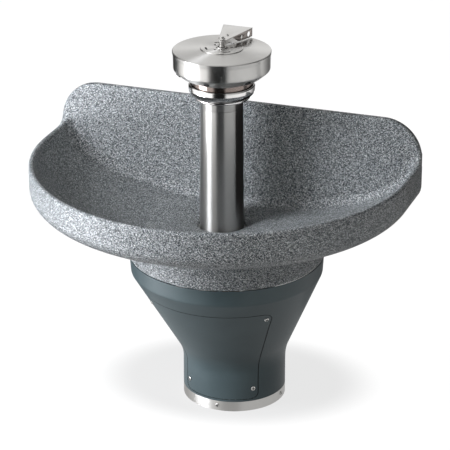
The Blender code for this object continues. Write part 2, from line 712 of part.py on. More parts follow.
def make_touch_ring():
    """Fixed collar, the ring that users press, its springs and the metering valve."""
    collar = [(0.0872, COLLAR_RIM_Z), (0.0882, COLLAR_RIM_Z), (0.0888, COLLAR_RIM_Z - 0.0010),
              (0.0888, COLLAR_TOP_Z - 0.0010), (0.0870, COLLAR_TOP_Z - 0.0026),
              (0.0700, COLLAR_TOP_Z - 0.0045), (0.0675, COLLAR_TOP_Z - 0.0070),
              (0.0675, COLUMN_TOP_Z), (0.0625, COLUMN_TOP_Z), (0.0625, COLLAR_TOP_Z - 0.0045),
              (0.0275, COLLAR_TOP_Z - 0.0045), (0.0275, COLLAR_TOP_Z), (0.0870, COLLAR_TOP_Z)]
    fixed = turned("ring_support_collar", collar, POLISHED, 28)
    valve_r = 0.0125
    drill(fixed, valve_r + 0.0004, (0, VALVE_Y, 1.05), (0, 0, 1), 0.04, 20)

    web = RING_LOW_Z + 0.003
    body = [(0.0985, 1.1215), (0.1015, 1.1225), (RING_R, 1.1165), (RING_R, 1.1060),
            (0.1015, 1.0965), (0.0965, 1.0905), (0.0925, 1.0877), (0.0906, 1.0880),
            (0.0902, RING_LOW_Z), (0.0305, RING_LOW_Z), (0.0305, web), (0.0900, web + 0.0003),
            (0.0955, 1.0975), (0.0985, 1.1050)]
    turned("touch_ring", body, POLISHED, 28)

    turns, points_each, coil_r, wire = 2, 8, 0.0045, 0.0005
    low = COLLAR_TOP_Z + GAP + wire
    high = RING_LOW_Z - GAP - wire
    for number in range(3):
        place = math.radians(-90 + 120 * number)
        x, y = 0.072 * math.cos(place), 0.072 * math.sin(place)
        route = []
        for i in range(int(turns * points_each) + 1):
            angle = 2 * math.pi * i / points_each
            height = low + (high - low) * i / (turns * points_each)
            route.append((x + coil_r * math.cos(angle), y + coil_r * math.sin(angle), height))
        pipe("ring_spring_%d" % (number + 1), route, wire, STEEL, resolution=2)

    valve_top = COLLAR_TOP_Z + 0.0005
    plunger_bore = 0.0042
    body = [(valve_r, valve_top), (valve_r, 1.000), (0.0, 1.000), (0.0, 1.040),
            (plunger_bore, 1.040), (plunger_bore, valve_top)]
    valve = turned("metering_valve_body", body, BRASS, 20, (0, VALVE_Y, 0))
    drill(valve, 0.0036, (0, VALVE_Y, 1.015), (0, -1, 0), 0.03, 12)
    plunger = [(0, RING_LOW_Z - GAP), (0.0040, RING_LOW_Z - GAP), (0.0040, 1.050), (0, 1.050)]
    turned("valve_plunger", plunger, STEEL, 16, (0, VALVE_Y, 0))
    inlet = VALVE_Y - valve_r - GAP
    pipe("valve_outlet_tube", bend([(0, inlet, 1.015), (0, 0.018, 1.015), (0, 0.018, 1.1577)], 0.008),
         0.0045, COPPER)


# ---------------------------------------------------------------- spray head
def make_head():
    """Dish, cover, hub, manifold and the three spray nozzles."""
    neck_low = COLLAR_TOP_Z + 0.0165
    ring("head_spacer_tube", 0.0300, 0.0275, COLLAR_TOP_Z + GAP, neck_low - GAP, STEEL, sides=20)
    outside = [(HEAD_R, HEAD_TOP_Z), (0.1530, 1.2150), (0.1523, 1.1980), (0.1521, 1.1830),
               (0.1508, 1.1745), (0.1470, 1.1680), (0.1280, 1.1518), (0.1120, 1.1452),
               (0.0985, 1.1415), (0.0965, 1.1380), (0.0965, 1.1040), (0.0890, neck_low),
               (0.0282, neck_low)]
    dish = turned("head_dish", outside, STEEL, 28, wall=0.0018)

    outlet = Vector((0.1385, 0, 1.1607))
    outward = Vector((0.648, 0, -0.761)).normalized()
    for number, angle in enumerate((-145, -90, -35), 1):
        spin = Matrix.Rotation(math.radians(angle), 3, "Z")
        point, aim = spin @ outlet, spin @ outward
        drill(dish, 0.0098, point - aim * 0.02, aim, 0.04)
        turn = Vector((0, 0, 1)).rotation_difference(aim)
        body = [(0, 0.0015), (0.0030, 0.0015), (0.0030, 0.0030), (0.0080, 0.0030), (0.0092, 0.0020),
                (0.0092, -0.0200), (0, -0.0200)]
        turned("spray_nozzle_%d" % number, body, RUBBER, 16, tuple(point), turn)

    manifold = [(0.0860, 1.1800), (0.0900, 1.1760), (0.0900, 1.1620), (0.0860, 1.1580),
                (ROD_R + 0.001, 1.1580), (ROD_R + 0.001, 1.1800)]
    turned("distribution_manifold", manifold, BRASS, 24)

    hub_r = 0.0675
    cover = [(0.0560, HUB_Z - GAP), (hub_r, HUB_Z - GAP), (hub_r + 0.004, HUB_Z - 0.0006),
             (HEAD_R - 0.002, HEAD_TOP_Z + 0.0024), (HEAD_R, HEAD_TOP_Z + 0.0014),
             (HEAD_R, HEAD_TOP_Z + GAP), (HEAD_R - 0.004, HEAD_TOP_Z + GAP),
             (hub_r, HUB_Z - 0.0026), (0.0560, HUB_Z - 0.0026)]
    turned("head_cover", cover, STEEL, 28)

    hub_top = HUB_Z + 0.0018
    hub = [(ROD_R + 0.0005, hub_top), (hub_r - 0.001, hub_top), (hub_r, hub_top - 0.001),
           (hub_r, HUB_Z), (ROD_R + 0.0005, HUB_Z)]
    disc = turned("hub_disc", hub, STEEL, 24)
    lip = turned("hub_boss", [(0.0165, hub_top + 0.0022), (0.0180, hub_top + 0.0010),
                              (0.0180, HUB_Z + 0.0008), (0.0135, HUB_Z + 0.0008),
                              (0.0135, hub_top + 0.0022)], STEEL, 16)
    unite(disc, lip)
    for angle in (-112, 20, 150):
        centre = Vector((0.031, 0, HUB_Z - 0.01))
        drill(disc, 0.0048, Matrix.Rotation(math.radians(angle), 3, "Z") @ centre, (0, 0, 1), 0.03, 10)
    for start in (-160, -65, 110, 60):
        steps = 3
        wide = math.radians(26)
        spokes = [math.radians(start) + wide * i / steps for i in range(steps + 1)]
        slot = [(0.0530 * math.cos(a), 0.0530 * math.sin(a)) for a in spokes]
        slot += [(0.0475 * math.cos(a), 0.0475 * math.sin(a)) for a in reversed(spokes)]
        cut(disc, plate("hub_slot", [slot], HUB_Z - 0.01, 0.03, STEEL))


def make_bracket():
    """Triangular wall brace over the head, with a drilled flange down each side."""
    back, half = BRACKET_BACK_Y, BRACKET_HALF_WIDTH
    nose = 0.0125
    outline = [(-half, back), (-nose * 0.75, -nose * 0.8), (nose * 0.75, -nose * 0.8), (half, back)]
    outline = rounded(outline, {1: 0.006, 2: 0.006}, 4)
    bracket = plate("top_bracket", [outline, circle(ROD_R + 0.0005, sides=16)], BRACKET_Z,
                    BRACKET_THICK, STEEL)
    along = Vector((half - nose * 0.75, back + nose * 0.8, 0))
    length = along.length
    start = length * 0.30
    for side in (-1, 1):
        direction = Vector((side * along.x, along.y, 0)).normalized()
        corner = Vector((side * nose * 0.75, -nose * 0.8, BRACKET_Z + BRACKET_THICK / 2))
        inward = Vector((-side * direction.y, side * direction.x, 0))
        turn = Matrix((direction, (0, 0, -1), direction.cross(Vector((0, 0, -1))))).transposed()
        flange = [(start, 0), (length - 0.002, 0), (length - 0.002, 0.0270), (start + 0.035, 0.0225)]
        holes = [circle(0.0085, (length - 0.022, 0.0140), 20), circle(0.0060, (length - 0.062, 0.0140), 18)]
        middle = corner + inward * (BRACKET_THICK / 2 - 0.0002)
        unite(bracket, plate("flange", [flange] + holes, 0, BRACKET_THICK, STEEL, turn.to_quaternion(),
                             tuple(middle)))
    drill(bracket, 0.0026, (0, 0.052, BRACKET_Z - 0.01), (0, 0, 1), 0.03, 12)
    screw("bracket_screw", (0, 0.052, BRACKET_Z + BRACKET_THICK), (0, 0, 1), 0.0045, 0.0022,
          0.0022, 0.007, STEEL)


# ---------------------------------------------------------------- water supply
def make_stop(side_name, x, knob):
    """A quarter-turn stop valve on the wall, its lever and the tube to the mixer."""
    away = Vector((0, -1, 0))
    turn = Vector((0, 0, 1)).rotation_difference(away)
    profile = [(0, 0.062), (0.0075, 0.062), (0.0075, 0.052), (0.0125, 0.050), (0.0125, 0.010),
               (0.0220, 0.008), (0.0220, 0.0), (0, 0.0)]
    body = turned(side_name + "_stop_body", profile, BRASS, 20, (x, WALL_Y - GAP, STOP_Z), turn)
    neck = cylinder(side_name + "_neck", 0.0085, STOP_Z, STOP_Z + 0.020, BRASS, (x, MIXER_Y), 16)
    unite(body, neck)
    lever_y = WALL_Y - GAP - 0.062 - GAP
    outline = rounded([(-0.009, -0.009), (0.009, -0.009), (0.006, 0.038), (-0.006, 0.038)],
                      {0: 0.008, 1: 0.008, 2: 0.005, 3: 0.005}, 4)
    stand = Matrix.Rotation(math.pi / 2, 3, "X").to_quaternion()
    plate(side_name + "_stop_handle", [outline], 0, 0.005, knob, stand,
          (x, lever_y - 0.0025, STOP_Z))


def make_supply():
    """Hot and cold stops, the mixing valve and the pipe up the column."""
    make_stop("hot", HOT_X, RED)
    make_stop("cold", COLD_X, BLUE)
    middle = (HOT_X + COLD_X) / 2
    reach = (COLD_X - HOT_X) / 2
    across = Vector((0, 0, 1)).rotation_difference(Vector((1, 0, 0)))
    body_r = 0.020
    barrel = [(0, reach + 0.012), (0.014, reach + 0.012), (body_r, reach + 0.004),
              (body_r, -reach - 0.004), (0.014, -reach - 0.012), (0, -reach - 0.012)]
    body = turned("mixing_valve_body", barrel, BRASS, 24, (middle, MIXER_Y, MIXER_Z), across)
    front = Vector((0, 0, 1)).rotation_difference(Vector((0, -1, 0)))
    spindle = cylinder("mixer_spindle", 0.010, 0, 0.030, BRASS, (middle, MIXER_Y, MIXER_Z), 20, front)
    unite(body, spindle)
    for x in (HOT_X, COLD_X):
        unite(body, cylinder("mixer_inlet", 0.0095, MIXER_Z - 0.030, MIXER_Z, BRASS, (x, MIXER_Y), 16))
    unite(body, cylinder("mixer_outlet", 0.0095, MIXER_Z, MIXER_Z + 0.028, BRASS, (middle, MIXER_Y), 16))

    lever_y = MIXER_Y - 0.030 - GAP
    outline = rounded([(-0.012, -0.012), (0.012, -0.012), (0.006, 0.050), (-0.006, 0.050)],
                      {0: 0.011, 1: 0.011, 2: 0.005, 3: 0.005}, 4)
    stand = Matrix.Rotation(math.pi / 2, 3, "X").to_quaternion()
    plate("mixing_valve_lever", [outline], 0, 0.006, PLASTIC, stand, (middle, lever_y - 0.003, MIXER_Z))

    tube_r = 0.0064
    for name, x in (("hot_supply_tube", HOT_X), ("cold_supply_tube", COLD_X)):
        pipe(name, [(x, MIXER_Y, STOP_Z + 0.020 + GAP), (x, MIXER_Y, MIXER_Z - 0.030 - GAP)],
             tube_r, COPPER)
    route = [(middle, MIXER_Y, MIXER_Z + 0.028 + GAP), (middle, MIXER_Y, 0.470), (-0.030, 0, 0.510),
             (-0.030, 0, 0.940), (0, VALVE_Y, 0.970), (0, VALVE_Y, 1.000 - GAP)]
    pipe("riser_pipe", bend(route, 0.016, 4), tube_r, COPPER)


make_bowl()
make_drain()
make_frame()
make_pedestal()
make_column()
make_touch_ring()
make_head()
make_bracket()
make_supply()
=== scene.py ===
"""Looks of the semi-circular pedestal wash fountain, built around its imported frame.

Frame: metres, +Z up, origin on the floor on the column's axis, wall at +Y.
"""
import json
import math

import bmesh
import bpy
import numpy as np
from mathutils import Matrix, Vector


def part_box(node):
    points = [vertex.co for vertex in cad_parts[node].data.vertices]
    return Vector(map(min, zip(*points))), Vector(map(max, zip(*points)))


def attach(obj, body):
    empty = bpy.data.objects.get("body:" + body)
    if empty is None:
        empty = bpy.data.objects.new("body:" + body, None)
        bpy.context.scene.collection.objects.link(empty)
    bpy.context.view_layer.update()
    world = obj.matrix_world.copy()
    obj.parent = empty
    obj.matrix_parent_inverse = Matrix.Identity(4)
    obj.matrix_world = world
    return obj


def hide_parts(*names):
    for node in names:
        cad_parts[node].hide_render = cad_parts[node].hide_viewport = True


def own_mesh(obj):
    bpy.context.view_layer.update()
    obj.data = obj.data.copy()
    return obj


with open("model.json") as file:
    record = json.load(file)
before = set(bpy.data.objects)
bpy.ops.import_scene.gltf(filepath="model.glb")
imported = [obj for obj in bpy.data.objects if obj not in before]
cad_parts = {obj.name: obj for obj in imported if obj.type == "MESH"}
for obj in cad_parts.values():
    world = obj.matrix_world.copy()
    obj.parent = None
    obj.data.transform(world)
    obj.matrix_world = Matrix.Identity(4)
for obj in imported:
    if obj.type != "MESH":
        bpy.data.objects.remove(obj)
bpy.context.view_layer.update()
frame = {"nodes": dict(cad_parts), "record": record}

# ---------------- sizes from the frame
BOWL_LOW, BOWL_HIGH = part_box("bowl")
SHELL_LOW, SHELL_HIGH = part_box("pedestal_shell")
PANEL_LOW, PANEL_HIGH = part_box("access_panel")
BAND_LOW, BAND_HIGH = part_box("base_band")
COLUMN_LOW, COLUMN_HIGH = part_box("column_tube")
COLLAR_LOW, COLLAR_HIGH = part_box("ring_support_collar")
RING_LOW, RING_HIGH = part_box("touch_ring")
DISH_LOW, DISH_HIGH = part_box("head_dish")
HUB_LOW, HUB_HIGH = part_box("hub_disc")
BRACKET_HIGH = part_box("top_bracket")[1]
ROD_LOW, ROD_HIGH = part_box("tie_rod")
WASHER_LOW, WASHER_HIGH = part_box("top_washer")
NUT_LOW, NUT_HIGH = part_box("top_nut")

WALL_Y = BOWL_HIGH.y
GAP = 0.0003               # clearance between pieces that touch

# bowl
BOWL_R = BOWL_HIGH.x
SPLASH_TOP_Z = BOWL_HIGH.z
FOOT_Z = BOWL_LOW.z
RIM_Z = 0.868              # height of the rim
RIM_ROUND = 0.007          # rounding of the rim's outer edge
RIM_R = 0.593              # inner edge of the rim
RIM_SWEEP_R = 0.042        # curve from the rim up to the backsplash
BASIN_DEPTH = 0.204        # below the rim
BASIN_COVE_R = 0.034       # between the basin and the backsplash
BELLY_Z = 0.7984           # where the bowl's outside starts to turn under
BELLY_DEPTH = 0.1293
BELLY_POWER = 2.4
SPLASH_THICK = 0.022
SPLASH_CORNER_R = 0.126    # round top corners
BOWL_HOLE_R = 0.0790       # hole for the column and the strainer
BOWL_LEDGE_R = 0.0745      # ledge that the strainer stands on
SEAT_Z = 0.618             # roof of the hollow foot
FOOT_R = 0.3147            # the foot that stands on the pedestal
FOOT_Y = 0.0464            # its arc's centre
FOOT_WALL = 0.022
FOOT_FILLET = 0.022
BOWL_CELL = 0.004          # mesh size of the casting

# pedestal
BASE_R = BAND_HIGH.x
BASE_Y = BAND_LOW.y + BASE_R
BAND_TOP_Z = BAND_HIGH.z
FLARE_Z = 0.1628           # where the outline starts to widen, over FLARE_BLEND each way
FLARE_BLEND = 0.034
SHOULDER_R = 0.3110
SHOULDER_Z = 0.4760        # where it turns upright
SHELL_THICK = 0.003
PANEL_FOOT_ANGLE = math.radians(46.2)
PANEL_TOP_ANGLE = math.radians(49.3)
PANEL_CORNER_R = 0.018
PANEL_GAP = 0.0020
PANEL_SHADE_SEAT = 0.010         # how far the black seat behind the seam reaches to each side; its black is painted shade in the gap
PANEL_SCREW_INSET = 0.017
PANEL_SCREW_Z = (0.079, 0.393)
PANEL_SCREW_HEAD = (0.0074, 0.0030)     # radius and height of the heads
BAND_SCREW_HEAD = (0.0066, 0.0026)
BRACE_SCREW_HEAD = (0.0045, 0.0022)
PANEL_SCREW_BORE_R = 0.0034
SMALL_SCREW_BORE_R = 0.0026
BAND_SCREW_ANGLES = (-85, 0, 85)

# column and head
COLUMN_TOP_R = 0.0672
COLUMN_FOOT_R = COLUMN_HIGH.x
HEAD_R = DISH_HIGH.x
HEAD_TOP_Z = DISH_HIGH.z
ROD_R = 0.006
ROD_BORE_R = ROD_R + 0.0005
NUT_CORNER_R = 0.019 / math.sqrt(3)
NECK_R = 0.0965            # the dish's narrow lower part
NECK_TOP_Z = 1.1385
NOZZLE_OUTLET = (0.1385, 0, 1.1607)
NOZZLE_AIM = (0.648, 0, -0.761)
NOZZLE_HOLE_R = 0.0098
VALVE_HOLE_R = 0.0129
NOZZLE_ANGLES = (-145, -90, -35)
HUB_HOLE_ANGLES = (-112, 20, 150)
HUB_SLOT_STARTS = (-160, -65, 110, 60)
HUB_SLOT_SWEEP = 26

# camera: angles in degrees, the lens in millimetres
CAMERA_AZIMUTH = 19.797
CAMERA_ELEVATION = 23.265
CAMERA_DISTANCE = 7.5
CAMERA_AIM_Z = 0.578
CAMERA_TILT = (67.1815, 0, 19.715)
CAMERA_LENS = 187.0

# the room that the steel reflects: (degrees from the camera, brightness)
ROOM_LEFT = [(-180, 1.05), (-168, 1.05), (-158, 0.06), (-124, 0.04), (-112, 1.4), (-96, 1.75),
             (-36, 1.75), (-27, 0.09), (-18, 0.01), (8, 0.015)]
ROOM_RIGHT_LOW = [(17, 1.05), (60, 1.25), (106, 1.10), (122, 0.55), (140, 0.20), (154, 0.20),
                  (164, 1.05), (180, 1.05)]
ROOM_RIGHT_HIGH = [(17, 0.62), (50, 0.66), (66, 0.42), (90, 0.10), (124, 0.05), (152, 0.06),
                   (164, 1.05), (180, 1.05)]
ROOM_BRIGHTEST = 2.0
ROOM_BLEND_Z = 0.3         # the low list turns into the high one within this of the room's middle
ROOM_RADIUS = 3.0
ROOM_MIDDLE_Z = 0.9
SKY_STRENGTH = 0.12
SHADE_R = 0.135            # the black screen behind the post
SHADE_Z = (0.60, 1.06)
SHADE_START = 58           # degrees to the right of the camera
SHADE_STEP = 4
SHADE_STEPS = 28
GLOW_R = 0.62              # the white floor that the steel band mirrors
PAINTED_SHADOW_CENTRE = (-0.021, 0.195, 0.0)     # the painted soft shadow on the floor
PAINTED_SHADOW_TURN = 9.5
PAINTED_SHADOW_SIZE = (0.47, 0.35, 1.0)

# lights: name, size, place, aim, watts, colour
LIGHTS = (
    ("key", (1.2, 1.2), (-2.27, -1.77, 2.15), (-0.1, -0.1, 0.75), 134, (0.97, 1.0, 1.06)),
    ("bounce", (1.4, 1.4), (-1.9, -1.3, 0.12), (0, 0, 0.75), 70, (0.98, 1.0, 1.05)),
    ("bounce_right", (1.2, 1.2), (2.0, -1.7, 0.12), (0, 0, 0.65), 9, (1, 1, 1)),
    ("top", (2.0, 2.0), (-0.3, -0.4, 4.0), (0, 0, 0.5), 9, (1, 1, 1)),
    ("front_fill", (1.6, 1.2), (0.53, -2.98, 2.1), (0, 0, 0.80), 27, (1, 1, 1)),
)
LIGHTS_IN_REFLECTIONS = ("key", "bounce")

looks = bpy.data.collections.new("looks")
bpy.context.scene.collection.children.link(looks)


# ---------------- node helpers
class Shader:
    """A Principled material whose constant values sit on its own sockets."""

    def __init__(self, name, **values):
        self.mat = bpy.data.materials.new(name)
        self.mat.use_nodes = True
        self.tree = self.mat.node_tree
        self.main = self.tree.nodes["Principled BSDF"]
        self.set(**values)
        coords = self.tree.nodes.new("ShaderNodeTexCoord")
        self.place = coords.outputs["Object"]

    def set(self, **values):
        """Set sockets of the Principled shader; an underscore stands for a space."""
        for key, value in values.items():
            self.put(self.main.inputs[key.replace("_", " ")], value)

    def put(self, socket, value):
        """Link a socket to another one, or give it a number, colour or vector."""
        if isinstance(value, bpy.types.NodeSocket):
            self.tree.links.new(value, socket)
        elif isinstance(value, (tuple, list)) and socket.type == "RGBA" and len(value) == 3:
            socket.default_value = (*value, 1.0)
        else:
            socket.default_value = value

    def node(self, kind, sockets=(), **settings):
        """Add a node; sockets go from input name or number to value."""
        new = self.tree.nodes.new("ShaderNode" + kind)
        for key, value in settings.items():
            setattr(new, key, value)
        for key, value in dict(sockets).items():
            self.put(new.inputs[key], value)
        return new

    def math(self, operation, first, second=0.0):
        return self.node("Math", {0: first, 1: second}, operation=operation).outputs[0]

    def stretched(self, scale):
        """Object coordinates with each axis scaled."""
        return self.node("Mapping", {"Vector": self.place, "Scale": scale}).outputs[0]

    def from_axis(self, axes):
        """Distance from the Z axis."""
        squares = [self.math("MULTIPLY", axis, axis) for axis in (axes[0], axes[1])]
        return self.math("SQRT", self.math("ADD", *squares))

    def turned_grain(self, across=900.0, along=6.0):
        """Coordinates for marks that run round the Z axis, as on a lathe."""
        axes = self.node("SeparateXYZ", {0: self.place}).outputs
        radius = self.from_axis(axes)
        angle = self.math("ARCTAN2", axes[1], axes[0])
        return self.node("CombineXYZ", {0: self.math("MULTIPLY", radius, across),
                                        1: self.math("MULTIPLY", angle, along),
                                        2: self.math("MULTIPLY", axes[2], across)}).outputs[0]

    def noise(self, vector, scale=1.0, detail=2.0, roughness=0.5):
        """A grey noise value."""
        made = self.node("TexNoise", {"Vector": vector, "Scale": scale, "Detail": detail,
                                      "Roughness": roughness})
        return made.outputs["Fac"]

    def cells(self, scale, randomness=1.0):
        """Random value of each cell, and the distance to its centre."""
        made = self.node("TexVoronoi", {"Vector": self.place, "Scale": scale, "Randomness": randomness})
        value = self.node("SeparateColor", {0: made.outputs["Color"]}).outputs[0]
        return value, made.outputs["Distance"]

    def ramp(self, value, stops, interpolation="LINEAR"):
        """A colour ramp; stops are (position, colour or grey)."""
        made = self.node("ValToRGB", {0: value})
        ramp = made.color_ramp
        ramp.interpolation = interpolation
        while len(ramp.elements) < len(stops):
            ramp.elements.new(0.5)
        for element, (position, colour) in zip(ramp.elements, stops):
            element.position = position
            colour = colour if isinstance(colour, (tuple, list)) else (colour,) * 3
            element.color = (*colour, 1.0)
        return made.outputs[0]

    def mix(self, factor, first, second, mode="MIX"):
        made = self.node("Mix", data_type="RGBA", blend_type=mode)
        self.put(made.inputs[0], factor)
        self.put(made.inputs[6], first)
        self.put(made.inputs[7], second)
        return made.outputs[2]

    def between(self, value, low, high):
        """Bring a 0 to 1 value into another range."""
        return self.node("MapRange", {0: value, 3: low, 4: high}).outputs[0]

    def bump(self, height, strength, distance, before=None):
        made = self.node("Bump", {"Strength": strength, "Distance": distance, "Height": height})
        if before is not None:
            self.put(made.inputs["Normal"], before)
        return made.outputs[0]


# ---------------- materials
def cast_stone():
    """Grey mineral casting: a tight mix of pale, grey and near-black chips."""
    s = Shader("cast_stone", Specular_IOR_Level=0.22)
    chip, chip_distance = s.cells(560)
    grit, grit_distance = s.cells(1000)
    chips = s.ramp(chip, [(0.0, (0.005, 0.008, 0.010)), (0.50, (0.050, 0.064, 0.071)),
                          (0.60, (0.190, 0.216, 0.226)), (0.76, (0.430, 0.455, 0.465)),
                          (0.87, (0.900, 0.915, 0.915))], "CONSTANT")
    grits = s.ramp(grit, [(0.0, (0.007, 0.010, 0.013)), (0.50, (0.105, 0.119, 0.126)),
                          (0.66, (0.340, 0.360, 0.370)), (0.84, (0.860, 0.875, 0.875))], "CONSTANT")
    near_chip = s.ramp(chip_distance, [(0.50, 1.0), (0.54, 0.0)])
    colour = s.mix(near_chip, grits, chips)
    drift = s.between(s.noise(s.place, 5.0, 2), 0.93, 1.07)
    clouds = s.node("CombineColor", {0: drift, 1: drift, 2: drift}).outputs[0]
    s.set(Base_Color=s.mix(1.0, colour, clouds, "MULTIPLY"), Roughness=s.between(chip, 0.36, 0.52))
    waves = s.bump(s.noise(s.place, 60, 2), 0.10, 0.002)
    s.set(Normal=s.bump(grit_distance, 0.06, 0.0003, waves))
    return s.mat


def slate_shell():
    """Dark grey-green moulded shell with a fine satin texture."""
    s = Shader("slate_shell", Specular_IOR_Level=0.28)
    drift = s.noise(s.place, 9, 3)
    fleck = s.noise(s.place, 1400, 2)
    tint = s.ramp(drift, [(0.3, (0.049, 0.071, 0.077)), (0.7, (0.065, 0.092, 0.099))])
    flecks = s.ramp(fleck, [(0.3, (0.030, 0.042, 0.047)), (0.7, (0.075, 0.098, 0.106))])
    s.set(Base_Color=s.mix(0.25, tint, flecks), Roughness=s.between(drift, 0.36, 0.46))
    peel = s.bump(s.noise(s.place, 420, 2), 0.10, 0.0006)
    s.set(Normal=s.bump(s.noise(s.place, 1500, 1), 0.10, 0.0002, peel))
    return s.mat


def steel(name, grain, roughness, anisotropic, base=(0.62, 0.61, 0.59), mark=0.06):
    """Stainless steel with grain lines, fine scuffs and a slight cloudiness."""
    s = Shader(name, Metallic=1.0, Anisotropic=anisotropic)
    lines = s.noise(grain(s), 1.0, 3, 0.7)
    cloud = s.noise(s.place, 28, 3)
    dark = tuple(0.86 * c for c in base)
    shade = s.mix(s.between(lines, 0.15, 0.85), dark, tuple(min(1.0, 1.07 * c) for c in base))
    s.set(Base_Color=s.mix(s.between(cloud, 0.0, 0.30), shade, dark),
          Roughness=s.math("ADD", s.between(lines, roughness - 0.04, roughness + 0.04),
                           s.between(cloud, -0.02, 0.03)))
    s.set(Normal=s.bump(lines, mark, 0.0003))
    if anisotropic:
        s.set(Anisotropic_Rotation=0.25)
        s.set(Tangent=s.node("Tangent", direction_type="RADIAL", axis="Z").outputs[0])
    return s.mat


def on_lathe(s):
    return s.turned_grain()


def along_wall(s):
    return s.stretched((14, 900, 900))


def worn_metal(name, light, dark, roughness, scale, bump=0.15):
    """Cast, machined or tarnished metal: two tones, mottled, lightly pitted."""
    s = Shader(name, Metallic=1.0)
    mottle = s.noise(s.place, scale, 4, 0.6)
    fine = s.noise(s.place, scale * 14, 2)
    s.set(Base_Color=s.mix(s.ramp(mottle, [(0.35, 0.0), (0.68, 1.0)]), light, dark),
          Roughness=s.between(mottle, roughness - 0.08, roughness + 0.12))
    s.set(Normal=s.bump(fine, bump, 0.0004))
    return s.mat


def drain_casting():
    """Sand-cast iron under black enamel."""
    s = Shader("drain_casting", Metallic=0.2)
    grain = s.noise(s.place, 700, 4, 0.65)
    patch = s.noise(s.place, 22, 3)
    worn = s.ramp(patch, [(0.45, 0.0), (0.75, 1.0)])
    s.set(Base_Color=s.mix(worn, (0.045, 0.046, 0.050), (0.110, 0.090, 0.075)),
          Roughness=s.between(grain, 0.45, 0.75))
    s.set(Normal=s.bump(grain, 0.35, 0.0008))
    return s.mat


def frame_paint():
    """Grey baked paint with orange peel and a few worn spots."""
    s = Shader("frame_paint", Specular_IOR_Level=0.5)
    peel = s.noise(s.place, 380, 2)
    wear = s.ramp(s.noise(s.place, 46, 5, 0.7), [(0.66, 0.0), (0.74, 1.0)])
    paint = s.mix(peel, (0.250, 0.262, 0.272), (0.310, 0.322, 0.332))
    s.set(Base_Color=s.mix(wear, paint, (0.150, 0.145, 0.140)), Roughness=s.between(peel, 0.38, 0.55))
    s.set(Normal=s.bump(peel, 0.16, 0.0005))
    return s.mat


def black_rubber():
    s = Shader("black_rubber", Specular_IOR_Level=0.35)
    bloom = s.noise(s.place, 120, 4, 0.6)
    s.set(Base_Color=s.ramp(bloom, [(0.3, (0.012, 0.012, 0.013)), (0.8, (0.034, 0.034, 0.035))]),
          Roughness=s.between(bloom, 0.50, 0.75))
    s.set(Normal=s.bump(s.noise(s.place, 1800, 2), 0.15, 0.0002))
    return s.mat


def moulded(name, colour, roughness):
    """Moulded plastic: faint flow marks, dust and a fine texture."""
    s = Shader(name, Specular_IOR_Level=0.5)
    flow = s.noise(s.place, 35, 3)
    dull = tuple(0.80 * c for c in colour)
    s.set(Base_Color=s.mix(s.between(flow, 0.0, 0.8), colour, dull),
          Roughness=s.between(flow, roughness - 0.06, roughness + 0.10))
    s.set(Normal=s.bump(s.noise(s.place, 1100, 2), 0.12, 0.0002))
    return s.mat


STONE = cast_stone()
SLATE = slate_shell()
LATHE = steel("brushed_stainless", on_lathe, 0.30, 0.95)
COLUMN_STEEL = steel("column_stainless", on_lathe, 0.31, 1.0)
# A darker, brownish copy of the steel for the neck: painted shade and painted reflection of the ring.
SHADED_NECK_STEEL = steel("neck_stainless_painted_shade", on_lathe, 0.18, 0.7, (0.28, 0.23, 0.21))
SHEET = steel("sheet_stainless", along_wall, 0.30, 0.0)
# A darker, brownish copy of the steel for the brace's flanges: painted shade and reflection.
SHADED_BRACE_STEEL = steel("brace_stainless_painted_shade", along_wall, 0.32, 0.0, (0.40, 0.355, 0.33))
POLISHED = steel("polished_stainless", lambda s: s.turned_grain(700, 4), 0.10, 0.4, (0.70, 0.69, 0.68), 0.02)
# Black rubber; the same black also goes onto the cut walls of seams, slots and screw recesses as painted
# shade.
BLACK_RUBBER_AND_SHADE = black_rubber()
MATERIALS = {
    "cast_stone": STONE,
    "slate_shell": SLATE,
    "brushed_stainless": SHEET,
    "polished_stainless": POLISHED,
    "brass": worn_metal("brass", (0.62, 0.47, 0.22), (0.40, 0.28, 0.12), 0.30, 40),
    "copper_tube": worn_metal("copper_tube", (0.66, 0.36, 0.24), (0.36, 0.17, 0.10), 0.30, 30, 0.08),
    "drain_casting": drain_casting(),
    "frame_paint": frame_paint(),
    "black_rubber": BLACK_RUBBER_AND_SHADE,
    "white_plastic": moulded("white_plastic", (0.74, 0.74, 0.72), 0.36),
    "red_plastic": moulded("red_plastic", (0.52, 0.035, 0.025), 0.30),
    "blue_plastic": moulded("blue_plastic", (0.03, 0.09, 0.42), 0.30),
}


# ---------------- mesh helpers
def add(name, mesh, mat, at=(0, 0, 0)):
    """Put a mesh into the model as a named piece."""
    obj = bpy.data.objects.new(name, mesh)
    obj.location = at
    mesh.materials.clear()
    mesh.materials.append(mat)
    looks.objects.link(obj)
    return obj


def from_bmesh(name, bm, mat, at=(0, 0, 0)):
    mesh = bpy.data.meshes.new(name)
    bm.to_mesh(mesh)
    bm.free()
    return add(name, mesh, mat, at)


def smooth(obj, angle=35):
    """Shade a round piece smooth, with its real edges sharp."""
    obj.data.shade_smooth()
    obj.data.set_sharp_from_angle(angle=math.radians(angle))
    return obj


def world_mesh(obj):
    """A mesh of the object as it shows, in world metres."""
    bpy.context.view_layer.update()
    graph = bpy.context.evaluated_depsgraph_get()
    mesh = bpy.data.meshes.new_from_object(obj.evaluated_get(graph))
    mesh.transform(obj.matrix_world)
    return mesh


def settle(obj):
    """Apply a piece's modifiers and its place."""
    mesh = world_mesh(obj)
    obj.modifiers.clear()
    obj.data = mesh
    obj.matrix_world = Matrix.Identity(4)
    return obj


def set_turn(obj, turn):
    """Turn an object by a quaternion."""
    obj.rotation_mode = "QUATERNION"
    obj.rotation_quaternion = turn


